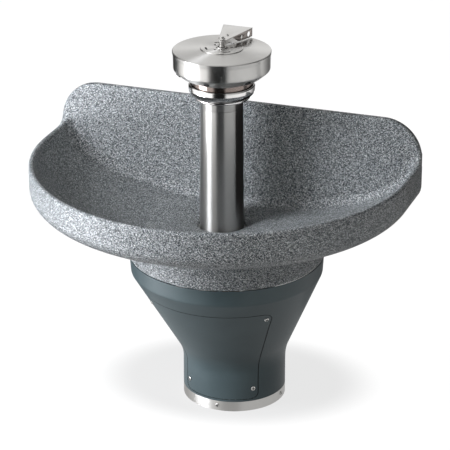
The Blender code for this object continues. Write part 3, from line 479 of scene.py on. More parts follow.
def boolean(target, tool, operation):
    """Shape one piece with another, and drop the tool; cut faces take the tool's material."""
    change = target.modifiers.new(operation.lower(), "BOOLEAN")
    change.operation = operation
    change.solver = "EXACT"
    change.material_mode = "TRANSFER"
    change.object = tool
    settle(target)
    bpy.data.objects.remove(tool, do_unlink=True)
    return target


def repaint(obj, mat, chosen):
    """Give the faces whose centres are chosen another material."""
    obj.data.materials.append(mat)
    last = len(obj.data.materials) - 1
    for face in obj.data.polygons:
        if chosen(face.center):
            face.material_index = last


def bevel(obj, width, segments=2, angle=40):
    """Break a piece's sharp edges."""
    edge = obj.modifiers.new("edges", "BEVEL")
    edge.width = width
    edge.segments = segments
    edge.limit_method = "ANGLE"
    edge.angle_limit = math.radians(angle)
    return obj


def thicken(obj, thick):
    """Give a sheet its thickness, inward."""
    shell = obj.modifiers.new("wall", "SOLIDIFY")
    shell.thickness = thick
    shell.offset = -1
    shell.use_even_offset = True
    return obj


def turned(name, profile, mat, steps=128, at=(0, 0, 0), turn=None, wall=0.0):
    """Turn a (radius, height) profile about Z. It runs down the outer side."""
    mesh = bpy.data.meshes.new(name)
    points = [(r, 0.0, z) for r, z in profile]
    edges = [(i, i + 1) for i in range(len(points) - 1)]
    if not wall and profile[0][0] > 0:
        edges.append((len(points) - 1, 0))
    mesh.from_pydata(points, edges, [])
    obj = add(name, mesh, mat, at)
    if turn is not None:
        set_turn(obj, turn)
    screw = obj.modifiers.new("turn", "SCREW")
    screw.axis = "Z"
    screw.angle = 2 * math.pi
    screw.steps = steps
    screw.render_steps = steps
    screw.use_merge_vertices = True
    screw.merge_threshold = 0.00001
    if wall:
        thicken(obj, wall)
    return smooth(settle(obj))


def box(name, low, high, mat):
    """A box between two corners."""
    bm = bmesh.new()
    bmesh.ops.create_cube(bm, size=1.0)
    bmesh.ops.scale(bm, vec=Vector(high) - Vector(low), verts=bm.verts)
    return settle(from_bmesh(name, bm, mat, (Vector(high) + Vector(low)) / 2))


def drill(target, radius, start, direction, depth, sides=48):
    """Bore a round hole into a piece."""
    turn = Vector((0, 0, 1)).rotation_difference(Vector(direction))
    bar = [(0, depth), (radius, depth), (radius, 0), (0, 0)]
    tool = turned("bore", bar, target.data.materials[0], sides, tuple(start), turn)
    return boolean(target, tool, "DIFFERENCE")


def plate(name, outlines, low, thick, mat, turn=None, at=None):
    """A flat plate: the first outline is its edge, the others are openings."""
    curve = bpy.data.curves.new(name, "CURVE")
    curve.dimensions = "2D"
    curve.fill_mode = "BOTH"
    curve.extrude = thick / 2
    for outline in outlines:
        spline = curve.splines.new("POLY")
        spline.points.add(len(outline) - 1)
        for point, (x, y) in zip(spline.points, outline):
            point.co = (x, y, 0, 1)
        spline.use_cyclic_u = True
    guide = bpy.data.objects.new(name + "_outline", curve)
    guide.location = at if at is not None else (0, 0, low + thick / 2)
    if turn is not None:
        set_turn(guide, turn)
    looks.objects.link(guide)
    mesh = world_mesh(guide)
    bpy.data.objects.remove(guide, do_unlink=True)
    bm = bmesh.new()
    bm.from_mesh(mesh)
    bmesh.ops.remove_doubles(bm, verts=bm.verts, dist=0.000001)
    bmesh.ops.recalc_face_normals(bm, faces=bm.faces)
    return from_bmesh(name, bm, mat)


def circle(radius, centre=(0, 0), sides=64):
    """Points round a circle."""
    angles = [2 * math.pi * i / sides for i in range(sides)]
    return [(centre[0] + radius * math.cos(a), centre[1] + radius * math.sin(a)) for a in angles]


def rounded(points, radii, steps=8, closed=True):
    """An outline with corners rounded; radii goes from corner index to radius."""
    result = []
    count = len(points)
    for i, point in enumerate(points):
        if i not in radii or (not closed and i in (0, count - 1)):
            result.append(tuple(point))
            continue
        here = Vector(point)
        before = (Vector(points[i - 1]) - here).normalized()
        after = (Vector(points[(i + 1) % count]) - here).normalized()
        half = math.acos(max(-1, min(1, before.dot(after)))) / 2
        centre = here + (before + after).normalized() * radii[i] / math.sin(half)
        start = here + before * radii[i] / math.tan(half) - centre
        end = here + after * radii[i] / math.tan(half) - centre
        sweep = start.angle_signed(end)
        for step in range(steps + 1):
            spoke = Matrix.Rotation(-sweep * step / steps, 2) @ start
            result.append(tuple(centre + spoke))
    return result


def soft_profile(points, radius, steps=4):
    """A profile with every inner corner rounded, each by no more than it has room for."""
    radii = {}
    for i in range(1, len(points) - 1):
        before = Vector(points[i - 1]) - Vector(points[i])
        after = Vector(points[i + 1]) - Vector(points[i])
        half = before.angle(after) / 2
        room = 0.45 * min(before.length, after.length) * math.tan(half)
        if half < math.radians(88):
            radii[i] = min(radius, room)
    return rounded(points, radii, steps, closed=False)


def flowing(points, steps=6):
    """A smooth curve through points (Catmull-Rom)."""
    ends = [Vector(points[0]) * 2 - Vector(points[1])]
    ends += [Vector(p) for p in points]
    ends.append(Vector(points[-1]) * 2 - Vector(points[-2]))
    curve = []
    for before, start, end, after in zip(ends, ends[1:], ends[2:], ends[3:]):
        for step in range(steps):
            t = step / steps
            curve.append(tuple(0.5 * (2 * start + (end - before) * t
                                      + (2 * before - 5 * start + 4 * end - after) * t * t
                                      + (3 * start - before - 3 * end + after) * t * t * t)))
    curve.append(tuple(points[-1]))
    return curve


def finished(obj, body, slot, *nodes):
    """Tie a finished piece to its body and hide the frame nodes it stands for; slot is not used."""
    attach(obj, body)
    if nodes:
        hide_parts(*nodes)
    return obj


def fixed_steel(obj, node):
    """Finish a stainless piece that stands still."""
    return finished(obj, "fountain", "brushed_stainless", node)


# ---------------- distance fields
def join_round(first, second, radius):
    """Union of two distance fields with a round fillet."""
    corner = np.hypot(np.maximum(radius - first, 0), np.maximum(radius - second, 0))
    return np.maximum(radius, np.minimum(first, second)) - corner


def keep_round(first, second, radius):
    """Intersection of two distance fields with a rounded edge."""
    corner = np.hypot(np.maximum(radius + first, 0), np.maximum(radius + second, 0))
    return np.minimum(-radius, np.maximum(first, second)) + corner


def profile_field(points, step=0.002, margin=0.03):
    """Table of signed distances to a closed (radius, height) outline, negative inside."""
    points = np.array(points)
    low = points.min(axis=0) - margin
    high = points.max(axis=0) + margin
    low[0] = -margin
    count = np.ceil((high - low) / step).astype(int) + 1
    r, z = np.meshgrid(low[0] + step * np.arange(count[0]), low[1] + step * np.arange(count[1]),
                       indexing="ij")
    nearest = np.full(r.shape, 1e9)
    inside = np.zeros(r.shape, bool)
    for (r0, z0), (r1, z1) in zip(points, np.roll(points, -1, axis=0)):
        length = (r1 - r0) ** 2 + (z1 - z0) ** 2
        if length == 0:
            continue
        t = np.clip(((r - r0) * (r1 - r0) + (z - z0) * (z1 - z0)) / length, 0, 1)
        nearest = np.minimum(nearest, np.hypot(r - r0 - t * (r1 - r0), z - z0 - t * (z1 - z0)))
        if z0 != z1:
            crosses = (z0 > z) != (z1 > z)
            inside ^= crosses & (r < r0 + (z - z0) * (r1 - r0) / (z1 - z0))
    return np.where(inside, -nearest, nearest), low, step


def read_field(table, r, z):
    """Value of a profile table at points, read between its entries."""
    values, low, step = table
    u = np.clip((r - low[0]) / step, 0, values.shape[0] - 1.001)
    v = np.clip((z - low[1]) / step, 0, values.shape[1] - 1.001)
    i, j = u.astype(int), v.astype(int)
    u, v = u - i, v - j
    return ((values[i, j] * (1 - u) + values[i + 1, j] * u) * (1 - v)
            + (values[i, j + 1] * (1 - u) + values[i + 1, j + 1] * u) * v)


def mirrored(points):
    """A half outline, from the axis out and back to it, closed by its mirror image."""
    return list(points) + [(-r, z) for r, z in reversed(points) if r > 0]


def belly_outline(steps=48):
    """The bowl's outside: rounded rim, upright side, then a full curve under."""
    points = [(0.0, RIM_Z)]
    for i in range(9):
        angle = math.pi / 2 * (1 - i / 8)
        points.append((BOWL_R - RIM_ROUND + RIM_ROUND * math.cos(angle),
                       RIM_Z - RIM_ROUND + RIM_ROUND * math.sin(angle)))
    for i in range(steps):
        turn = math.pi / 2 * i / steps
        points.append((BOWL_R * math.cos(turn) ** (2 / BELLY_POWER),
                       BELLY_Z - BELLY_DEPTH * math.sin(turn) ** (2 / BELLY_POWER)))
    points.append((0.0, BELLY_Z - BELLY_DEPTH))
    return mirrored(points)


def basin_outline(steps=48):
    """The basin's inside: an elliptical hollow, open at the top."""
    open_z = SPLASH_TOP_Z + 0.06
    points = [(0.0, open_z), (RIM_R + 0.003, open_z), (RIM_R + 0.003, RIM_Z), (RIM_R, RIM_Z - 0.004)]
    for i in range(1, steps):
        turn = math.pi / 2 * i / steps
        points.append((RIM_R * math.cos(turn), RIM_Z - BASIN_DEPTH * math.sin(turn)))
    points.append((0.0, RIM_Z - BASIN_DEPTH))
    return mirrored(points)


def dish_outline():
    """The shallow dish and the hole round the column."""
    top = 0.74
    fall = flowing([(0.150, 0.6712), (0.130, 0.6655), (0.102, 0.6570), (0.0865, 0.6515)], 5)
    points = [(0.0, top), (0.150, top)] + fall
    points += [(BOWL_HOLE_R, 0.6440), (BOWL_HOLE_R, 0.6325), (BOWL_LEDGE_R, 0.6325),
               (BOWL_LEDGE_R, 0.55), (0.0, 0.55)]
    return mirrored(points)


BELLY = profile_field(belly_outline())
BASIN = profile_field(basin_outline())
DISH = profile_field(dish_outline())


def bowl_field(x, y, z):
    """Signed distance to the one-piece casting, roughly, negative inside."""
    around = np.where(y < 0, np.hypot(x, y), np.abs(x))
    splash_y = WALL_Y - SPLASH_THICK
    to_wall = y - WALL_Y

    belly = keep_round(read_field(BELLY, around, z), to_wall, 0.004)

    # the foot flares a little as it goes up into the belly
    rise = np.clip(z - FOOT_Z, 0, 0.19)
    foot_r = FOOT_R + 0.030 * (rise / 0.185) ** 2
    foot_y = FOOT_Y - 0.016 * (rise / 0.185) ** 2
    foot = np.hypot(x, y - foot_y) - foot_r
    foot = keep_round(foot, to_wall, 0.004)
    foot = np.maximum(keep_round(foot, FOOT_Z - z, 0.004), z - 0.72)
    body = np.maximum(join_round(belly, foot, FOOT_FILLET), to_wall)

    # the rim sweeps up into the backsplash at both ends
    middle_y, middle_z = splash_y - RIM_SWEEP_R, RIM_Z + RIM_SWEEP_R
    sweep = RIM_SWEEP_R - np.hypot(y - middle_y, z - middle_z)
    sweep = np.maximum.reduce([sweep, middle_y - y, z - middle_z, to_wall, RIM_Z - 0.03 - z])
    sweep = keep_round(sweep, around - BOWL_R, RIM_ROUND)
    body = np.minimum(body, sweep)

    basin = keep_round(read_field(BASIN, around, z), y - splash_y, BASIN_COVE_R)
    body = keep_round(body, -basin, 0.0045)

    # the backsplash is a slab with round corners and rounded edges
    half_x = BOWL_R - SPLASH_CORNER_R
    out_x = np.maximum(np.abs(x) - half_x, 0)
    out_z = np.maximum(z - (SPLASH_TOP_Z - SPLASH_CORNER_R), 0)
    slab = np.hypot(out_x, out_z) - SPLASH_CORNER_R
    slab = np.maximum(slab, BELLY_Z + 0.01 - z)
    thick = np.abs(y - (WALL_Y - SPLASH_THICK / 2)) - SPLASH_THICK / 2
    body = np.minimum(body, keep_round(slab, thick, RIM_ROUND))

    # the dish, the hole for the column and the hollow foot
    dish = read_field(DISH, np.hypot(x, y), z)
    dish = keep_round(dish, y - splash_y + 0.012, 0.020)
    body = keep_round(body, -dish, 0.003)
    pocket = np.hypot(x, y - FOOT_Y) - (FOOT_R - FOOT_WALL)
    pocket = keep_round(pocket, y - (WALL_Y - FOOT_WALL), 0.012)
    pocket = keep_round(pocket, z - SEAT_Z, 0.008)
    return keep_round(body, -pocket, 0.004)


def surface_net(field, low, high, step):
    """Quads over a distance field's zero surface, one vertex to a crossed cell.

    Only cells near the surface are evaluated: a coarse grid says where it is.
    """
    block = 4
    count = [int(math.ceil((b - a) / (step * block))) * block + 1 for a, b in zip(low, high)]
    coarse_axes = [low[k] + step * block * (np.arange((count[k] - 1) // block) + 0.5) for k in range(3)]
    coarse = field(*np.meshgrid(*coarse_axes, indexing="ij"))
    value = np.pad(coarse, [(0, 1)] * 3, mode="edge")
    for axis in range(3):
        value = np.repeat(value, block, axis=axis)
    value = value[:count[0], :count[1], :count[2]].copy()
    near = np.abs(value) < step * block * 1.6
    spots = np.nonzero(near)
    value[spots] = field(*[low[k] + step * spots[k] for k in range(3)])

    corners = [(i, j, k) for i in (0, 1) for j in (0, 1) for k in (0, 1)]
    size = [c - 1 for c in count]
    inside = value < 0
    filled = sum(inside[i:i + size[0], j:j + size[1], k:k + size[2]].astype(np.int8) for i, j, k in corners)
    active = (filled > 0) & (filled < 8)
    cells = np.argwhere(active)
    index = np.full(size, -1)
    index[active] = np.arange(len(cells))

    total = np.zeros((len(cells), 3))
    crossings = np.zeros(len(cells))
    for a in corners:
        for axis in range(3):
            if a[axis]:
                continue
            b = list(a)
            b[axis] = 1
            fa = value[tuple((cells + a).T)]
            fb = value[tuple((cells + b).T)]
            crossed = (fa < 0) != (fb < 0)
            share = fa[crossed] / (fa[crossed] - fb[crossed])
            total[crossed] += np.array(a) + share[:, None] * (np.array(b) - np.array(a))
            crossings[crossed] += 1
    verts = np.array(low) + step * (cells + total / crossings[:, None])

    faces = []
    for axis in range(3):
        one, two = (axis + 1) % 3, (axis + 2) % 3
        start = [slice(None)] * 3
        start[axis] = slice(0, -1)
        end = [slice(None)] * 3
        end[axis] = slice(1, None)
        changes = np.argwhere(inside[tuple(start)] != inside[tuple(end)])
        changes = changes[(changes[:, one] > 0) & (changes[:, two] > 0)]
        around = []
        for shift_one, shift_two in ((1, 1), (0, 1), (0, 0), (1, 0)):
            cell = changes.copy()
            cell[:, one] -= shift_one
            cell[:, two] -= shift_two
            around.append(index[tuple(cell.T)])
        quads = np.stack(around, axis=1)
        leaving = inside[tuple(changes.T)]
        quads[~leaving] = quads[~leaving][:, ::-1]
        faces.append(quads)
    return verts, np.concatenate(faces)


def to_surface(field, verts, rounds=3, reach=0.0004):
    """Move points onto a field's zero surface along its slope."""
    for _ in range(rounds):
        here = field(*verts.T)
        slope = np.empty_like(verts)
        for axis in range(3):
            shift = np.zeros(3)
            shift[axis] = reach
            slope[:, axis] = (field(*(verts + shift).T) - field(*(verts - shift).T)) / (2 * reach)
        size = np.maximum((slope ** 2).sum(axis=1), 0.25)
        verts = verts - slope * (here / size)[:, None]
    return verts


def make_bowl():
    """The casting as one even skin with its real fillets."""
    step = BOWL_CELL * 1
    edge = 2.37 * step
    low = np.array(BOWL_LOW) - edge
    high = np.array(BOWL_HIGH) + edge
    verts, quads = surface_net(bowl_field, low, high, step)
    verts = to_surface(bowl_field, verts)
    verts = np.clip(verts, np.array(BOWL_LOW), np.array(BOWL_HIGH))
    mesh = bpy.data.meshes.new("bowl_casting")
    mesh.from_pydata(verts.tolist(), [], quads.tolist())
    mesh.shade_smooth()
    finished(add("bowl_casting", mesh, STONE), "fountain", "cast_stone", "bowl")


# ---------------- pedestal
def wall_loft(name, stations, mat, thick):
    """A shell whose sections are arcs cut off by the wall; stations are (z, R, centre Y)."""
    sides = 120
    bm = bmesh.new()
    rows = []
    back = WALL_Y - GAP
    for z, radius, centre_y in stations:
        rise = math.asin(min(1.0, (back - centre_y) / radius))
        sweep = math.pi + 2 * rise
        row = []
        for i in range(sides + 1):
            angle = math.pi - rise + sweep * i / sides
            row.append(bm.verts.new((radius * math.cos(angle), centre_y + radius * math.sin(angle), z)))
        rows.append(row)
    for low, high in zip(rows, rows[1:]):
        for i in range(sides):
            bm.faces.new((low[i], low[i + 1], high[i + 1], high[i]))
    return settle(thicken(from_bmesh(name, bm, mat), thick))


def pedestal_size(z):
    """Arc radius and arc centre of the pedestal's outside at a height."""
    slope = (SHOULDER_R - BASE_R) / (SHOULDER_Z - FLARE_Z)
    if z < FLARE_Z - FLARE_BLEND:
        radius = BASE_R
    elif z < FLARE_Z + FLARE_BLEND:
        radius = BASE_R + slope * (z - FLARE_Z + FLARE_BLEND) ** 2 / (4 * FLARE_BLEND)
    elif z < SHOULDER_Z:
        radius = BASE_R + slope * (z - FLARE_Z)
    else:
        radius = SHOULDER_R + (FOOT_R - SHOULDER_R) * (z - SHOULDER_Z) / (FOOT_Z - SHOULDER_Z)
    share = (radius - BASE_R) / (FOOT_R - BASE_R)
    return radius, BASE_Y + (FOOT_Y - BASE_Y) * share


def pedestal_heights():
    """Section heights, a centimetre apart, closer where the outline turns upright."""
    low, high = SHELL_LOW.z, SHELL_HIGH.z
    rows = 50
    heights = [low + (high - low) * k / rows for k in range(rows + 1)]
    turn = [SHOULDER_Z + d for d in (-0.006, -0.002, 0.002, 0.006)]
    return sorted([h for h in heights if abs(h - SHOULDER_Z) > 0.008] + turn)


def panel_angle(z):
    """Half the angle that the panel covers at a height."""
    share = max(0.0, z - FLARE_Z) / (PANEL_HIGH.z - FLARE_Z)
    return PANEL_FOOT_ANGLE + (PANEL_TOP_ANGLE - PANEL_FOOT_ANGLE) * share


def panel_outline(grow):
    """Front view of the access panel, which widens with the pedestal."""
    low, high = PANEL_LOW.z - grow, PANEL_HIGH.z + grow
    bends = [h for h in pedestal_heights() if low + 0.03 < h < high - 0.05]
    right = [(pedestal_size(z)[0] * math.sin(panel_angle(z)) + grow, z) for z in [low] + bends + [high]]
    outline = right + [(-x, z) for x, z in reversed(right)]
    corners = (0, len(right) - 1, len(right), len(outline) - 1)
    return rounded(outline, {i: PANEL_CORNER_R + grow for i in corners}, 12)


def panel_tool(name, grow):
    """A bar along Y with the panel's outline, from the front to inside the shell."""
    stand = Matrix.Rotation(math.pi / 2, 3, "X").to_quaternion()
    # The bar is black, and the cut walls of the seam take its black: painted shade in the gap.
    return plate(name, [panel_outline(grow)], 0, 0.50, BLACK_RUBBER_AND_SHADE, stand, (0, BASE_Y - 0.02 - 0.25, 0))


def on_shell(z, angle):
    """A point on the pedestal's outside and the direction out of it there."""
    step = 0.002
    points = []
    for height in (z - step, z, z + step):
        radius, centre_y = pedestal_size(height)
        points.append(Vector((radius * math.sin(angle), centre_y - radius * math.cos(angle), height)))
    along = Vector((math.cos(angle), math.sin(angle), 0))
    return points[1], along.cross(points[2] - points[0]).normalized()


def make_screw(name, node, body, head, point, outward):
    """A round-head screw with a cross recess, standing on a surface."""
    head_r, head_h = head
    dome = 0.45
    outward = Vector(outward).normalized()
    turn = Vector((0, 0, 1)).rotation_difference(outward)
    profile = [(0, head_h)]
    steps = 7
    for i in range(1, steps + 1):
        angle = math.pi / 2 * i / steps
        profile.append((head_r * math.sin(angle), head_h * (dome + (1 - dome) * math.cos(angle))))
    profile += [(head_r, 0.0), (head_r * 0.4, 0.0), (head_r * 0.4, -0.004), (0, -0.004)]
    screw = turned(name, profile, SHEET, 32)
    half, wide = head_r * 0.75, head_r * 0.19
    for x, y in ((half, wide), (wide, half)):
        # The recess walls take the black material: painted shade in the cross recess.
        slot = box("recess", (-x, -y, head_h * 0.45), (x, y, head_h + 0.001), BLACK_RUBBER_AND_SHADE)
        boolean(screw, slot, "DIFFERENCE")
    smooth(screw)
    screw.data.transform(Matrix.Translation(Vector(point)) @ turn.to_matrix().to_4x4()
                         @ Matrix.Rotation(0.5, 4, "Z"))
    finished(screw, body, "brushed_stainless", node)


def make_pedestal():
    """Outer shell, its access panel with screws, and the band at the floor."""
    stations = [(z, *pedestal_size(z)) for z in pedestal_heights()]
    shell = wall_loft("pedestal_cover", stations, SLATE, SHELL_THICK)
    boolean(shell, panel_tool("panel_opening", PANEL_GAP), "DIFFERENCE")
    inner = [(z, radius - SHELL_THICK - 0.0004, centre_y) for z, radius, centre_y in stations]
    # A black seat just inside the shell, behind the seam: the dark gap is painted shade.
    shade_seat = wall_loft("panel_shade_seat", inner, BLACK_RUBBER_AND_SHADE, 0.002)
    boolean(shade_seat, panel_tool("shade_seat_outside", PANEL_SHADE_SEAT), "INTERSECT")
    boolean(shade_seat, panel_tool("shade_seat_inside", -PANEL_SHADE_SEAT), "DIFFERENCE")
    boolean(shell, shade_seat, "UNION")
    finished(smooth(shell, 30), "fountain", "slate_shell", "pedestal_shell")

    panel = wall_loft("access_cover", stations, SLATE, SHELL_THICK)
    boolean(panel, panel_tool("panel_blank", 0.0), "INTERSECT")
    number = 0
    for z in PANEL_SCREW_Z:
        inset = PANEL_SCREW_INSET / pedestal_size(z)[0]
        for side in (-1, 1):
            number += 1
            point, outward = on_shell(z, side * (panel_angle(z) - inset))
            drill(panel, PANEL_SCREW_BORE_R, point - outward * 0.02, outward, 0.04, 32)
            make_screw("panel_screw_head_%d" % number, "panel_screw_%d" % number, "access_panel",
                       PANEL_SCREW_HEAD, point + outward * 0.0006, outward)
    finished(smooth(panel, 30), "access_panel", "slate_shell", "access_panel")

    rims = [(z, BASE_R, BASE_Y) for z in (0, BAND_TOP_Z)]
    band = wall_loft("floor_band", rims, LATHE, SHELL_THICK)
    middle_z = (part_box("band_screw_2")[0].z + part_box("band_screw_2")[1].z) / 2
    for number, degrees in enumerate(BAND_SCREW_ANGLES, 1):
        angle = math.radians(degrees)
        outward = Vector((math.sin(angle), -math.cos(angle), 0))
        point = Vector((0, BASE_Y, middle_z)) + outward * BASE_R
        drill(band, SMALL_SCREW_BORE_R, point - outward * 0.015, outward, 0.03, 32)
        make_screw("band_screw_head_%d" % number, "band_screw_%d" % number, "fountain",
                   BAND_SCREW_HEAD, point + outward * 0.0004, outward)
    fixed_steel(smooth(bevel(band, 0.0007), 30), "base_band")


# ---------------- column and touch ring
def make_column():
    """The tapered post, a tube with a thin wall."""
    low, high = COLUMN_LOW.z, COLUMN_HIGH.z
    profile = [(COLUMN_TOP_R + (COLUMN_FOOT_R - COLUMN_TOP_R) * k / 12, high - (high - low) * k / 12)
               for k in range(13)]
    fixed_steel(turned("column_post", profile, COLUMN_STEEL, 160, wall=0.002), "column_tube")


def make_touch_ring():
    """Fixed collar and the ring that users press."""
    rim = COLLAR_HIGH.z
    top = rim - 0.0043
    foot = COLLAR_LOW.z
    collar = [(0.0872, rim), (0.0881, rim), (0.0888, rim - 0.0009), (0.0888, top - 0.0012),
              (0.0870, top - 0.0026), (0.0700, top - 0.0045), (0.0675, top - 0.0070), (0.0675, foot),
              (0.0625, foot), (0.0625, top - 0.0045), (0.0275, top - 0.0045), (0.0275, top), (0.0870, top),
              (0.0872, rim)]
    fixed = turned("ring_support", soft_profile(collar, 0.0012)[:-1], POLISHED, 128)
    valve = (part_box("metering_valve_body")[0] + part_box("metering_valve_body")[1]) / 2
    drill(fixed, VALVE_HOLE_R, (valve.x, valve.y, 1.05), (0, 0, 1), 0.04)
    repaint(fixed, COLUMN_STEEL, lambda centre: centre.z < top - 0.0065)
    finished(smooth(fixed), "fountain", "polished_stainless", "ring_support_collar")

    high, radius = RING_HIGH.z, RING_HIGH.x
    floor = RING_LOW.z + 0.0018
    web = floor + 0.003
    lip = flowing([(0.0985, high - 0.0016), (0.0997, high - 0.0003), (0.1013, high), (0.1033, high - 0.0018),
                   (radius, high - 0.0058), (radius, high - 0.0165)], 5)
    under = flowing([(0.1041, 1.1043), (0.1015, 1.0965), (0.0965, 1.0905), (0.0925, RING_LOW.z),
                     (0.0906, RING_LOW.z + 0.0003)], 5)
    inner = flowing([(0.0900, web + 0.0003), (0.0938, 1.0955), (0.0970, 1.1000), (0.0985, 1.1060)], 4)
    body = lip + under + [(0.0902, floor), (0.0305, floor), (0.0305, web)] + inner
    finished(turned("press_ring", body, POLISHED, 160), "touch_ring", "polished_stainless", "touch_ring")


# ---------------- spray head
def make_head():
    """Dish, cover, hub and the three spray nozzles."""
    neck_low = DISH_LOW.z
    side = flowing([(HEAD_R, HEAD_TOP_Z), (0.1540, 1.2210), (0.1530, 1.2150), (0.1525, 1.2050),
                    (0.1522, 1.1950), (0.1521, 1.1840)], 4)
    under = rounded([side[-1], (0.1518, 1.1722), (0.1280, 1.1518), (0.1110, 1.1446), (NECK_R, 1.1400),
                     (NECK_R, 1.1040), (0.0890, neck_low), (0.0282, neck_low)],
                    {1: 0.010, 2: 0.012, 4: 0.003, 5: 0.003, 6: 0.003}, 6, closed=False)
    dish = turned("head_bowl", side + under[1:], LATHE, 160, wall=0.0018)
    outlet = Vector(NOZZLE_OUTLET)
    outward = Vector(NOZZLE_AIM).normalized()
    for number, angle in enumerate(NOZZLE_ANGLES, 1):
        spin = Matrix.Rotation(math.radians(angle), 3, "Z")
        point, aim = spin @ outlet, spin @ outward
        drill(dish, NOZZLE_HOLE_R, point - aim * 0.02, aim, 0.04)
        turn = Vector((0, 0, 1)).rotation_difference(aim)
        body = soft_profile([(0, 0.0012), (0.0034, 0.0012), (0.0040, 0.0030), (0.0078, 0.0030),
                             (0.0092, 0.0016), (0.0092, -0.0200), (0, -0.0200)], 0.0006)
        nozzle = turned("nozzle_%d" % number, body, BLACK_RUBBER_AND_SHADE, 40, tuple(point), turn)
        finished(nozzle, "fountain", "black_rubber", "spray_nozzle_%d" % number)
    # The neck faces take the darker brownish steel: painted shade and reflection under the head.
    repaint(dish, SHADED_NECK_STEEL, lambda centre: centre.z < NECK_TOP_Z and centre.xy.length < NECK_R + 0.0007)
    fixed_steel(smooth(dish, 30), "head_dish")

    hub_r = HUB_HIGH.x
    hub_z = HUB_LOW.z
    cover = [(0.0560, hub_z - GAP), (hub_r, hub_z - GAP), (hub_r + 0.004, hub_z - 0.0006),
             (HEAD_R - 0.0030, HEAD_TOP_Z + 0.0026), (HEAD_R, HEAD_TOP_Z + 0.0012),
             (HEAD_R, HEAD_TOP_Z + GAP), (HEAD_R - 0.004, HEAD_TOP_Z + GAP),
             (hub_r, hub_z - 0.0026), (0.0560, hub_z - 0.0026)]
    fixed_steel(turned("head_lid", soft_profile(cover, 0.0016), LATHE, 160), "head_cover")

    hub_top = hub_z + 0.0018
    disc = turned("hub_plate", [(ROD_BORE_R, hub_top), (hub_r - 0.0008, hub_top), (hub_r, hub_top - 0.0008),
                                (hub_r, hub_z), (ROD_BORE_R, hub_z)], LATHE, 128)
    boss = turned("boss", [(0.0165, hub_top + 0.0022), (0.0180, hub_top + 0.0010), (0.0180, hub_z + 0.0008),
                           (0.0135, hub_z + 0.0008), (0.0135, hub_top + 0.0022)], LATHE, 96)
    boolean(disc, boss, "UNION")
    for angle in HUB_HOLE_ANGLES:
        centre = Matrix.Rotation(math.radians(angle), 3, "Z") @ Vector((0.031, 0, hub_z - 0.01))
        drill(disc, 0.0048, centre, (0, 0, 1), 0.03)
    for start in HUB_SLOT_STARTS:
        spokes = [math.radians(start + HUB_SLOT_SWEEP * i / 10) for i in range(11)]
        slot = [(0.0530 * math.cos(a), 0.0530 * math.sin(a)) for a in spokes]
        slot += [(0.0475 * math.cos(a), 0.0475 * math.sin(a)) for a in reversed(spokes)]
        # The slot walls take the black material: painted shade inside the slots.
        boolean(disc, plate("hub_slot", [slot], hub_z - 0.01, 0.03, BLACK_RUBBER_AND_SHADE), "DIFFERENCE")
    fixed_steel(smooth(bevel(disc, 0.0003, 1), 30), "hub_disc")


def make_bracket():
    """Triangular wall brace over the head, with a drilled flange down each side."""
    back, half = BRACKET_HIGH.y, 0.049
    nose = 0.0125
    thick = 0.002
    low = BRACKET_HIGH.z - thick
    outline = [(-half, back), (-nose * 0.75, -nose * 0.8), (nose * 0.75, -nose * 0.8), (half, back)]
    outline = rounded(outline, {1: 0.006, 2: 0.006}, 8)
    bracket = plate("wall_brace", [outline, circle(ROD_BORE_R, sides=48)], low, thick, SHEET)
    along = Vector((half - nose * 0.75, back + nose * 0.8, 0))
    length = along.length
    start = length * 0.30
    middle = thick / 2 - 0.0002
    for side in (-1, 1):
        direction = Vector((side * along.x, along.y, 0)).normalized()
        corner = Vector((side * nose * 0.75, -nose * 0.8, low + thick / 2))
        inward = Vector((-side * direction.y, side * direction.x, 0))
        turn = Matrix((direction, (0, 0, -1), direction.cross(Vector((0, 0, -1))))).transposed()
        flange = [(start, 0), (length - 0.002, 0), (length - 0.002, 0.0270), (start + 0.035, 0.0225)]
        flange = rounded(flange, {2: 0.004, 3: 0.006}, 6)
        holes = [circle(0.0085, (length - 0.022, 0.0140), 48), circle(0.0060, (length - 0.062, 0.0140), 40)]
        wing = plate("flange", [flange] + holes, 0, thick, SHEET, turn.to_quaternion(),
                     tuple(corner + inward * middle))
        boolean(bracket, wing, "UNION")
    screw_y = 0.052
    drill(bracket, SMALL_SCREW_BORE_R, (0, screw_y, low - 0.01), (0, 0, 1), 0.03)
    settle(bevel(bracket, 0.0004, 2))
    # The flanges below the plate take the darker brownish steel: painted shade and reflection.
    repaint(bracket, SHADED_BRACE_STEEL, lambda centre: centre.z < low - 0.0006)
    fixed_steel(smooth(bracket, 30), "top_bracket")
    make_screw("brace_screw", "bracket_screw", "fountain", BRACE_SCREW_HEAD,
               (0, screw_y, BRACKET_HIGH.z + GAP), (0, 0, 1))


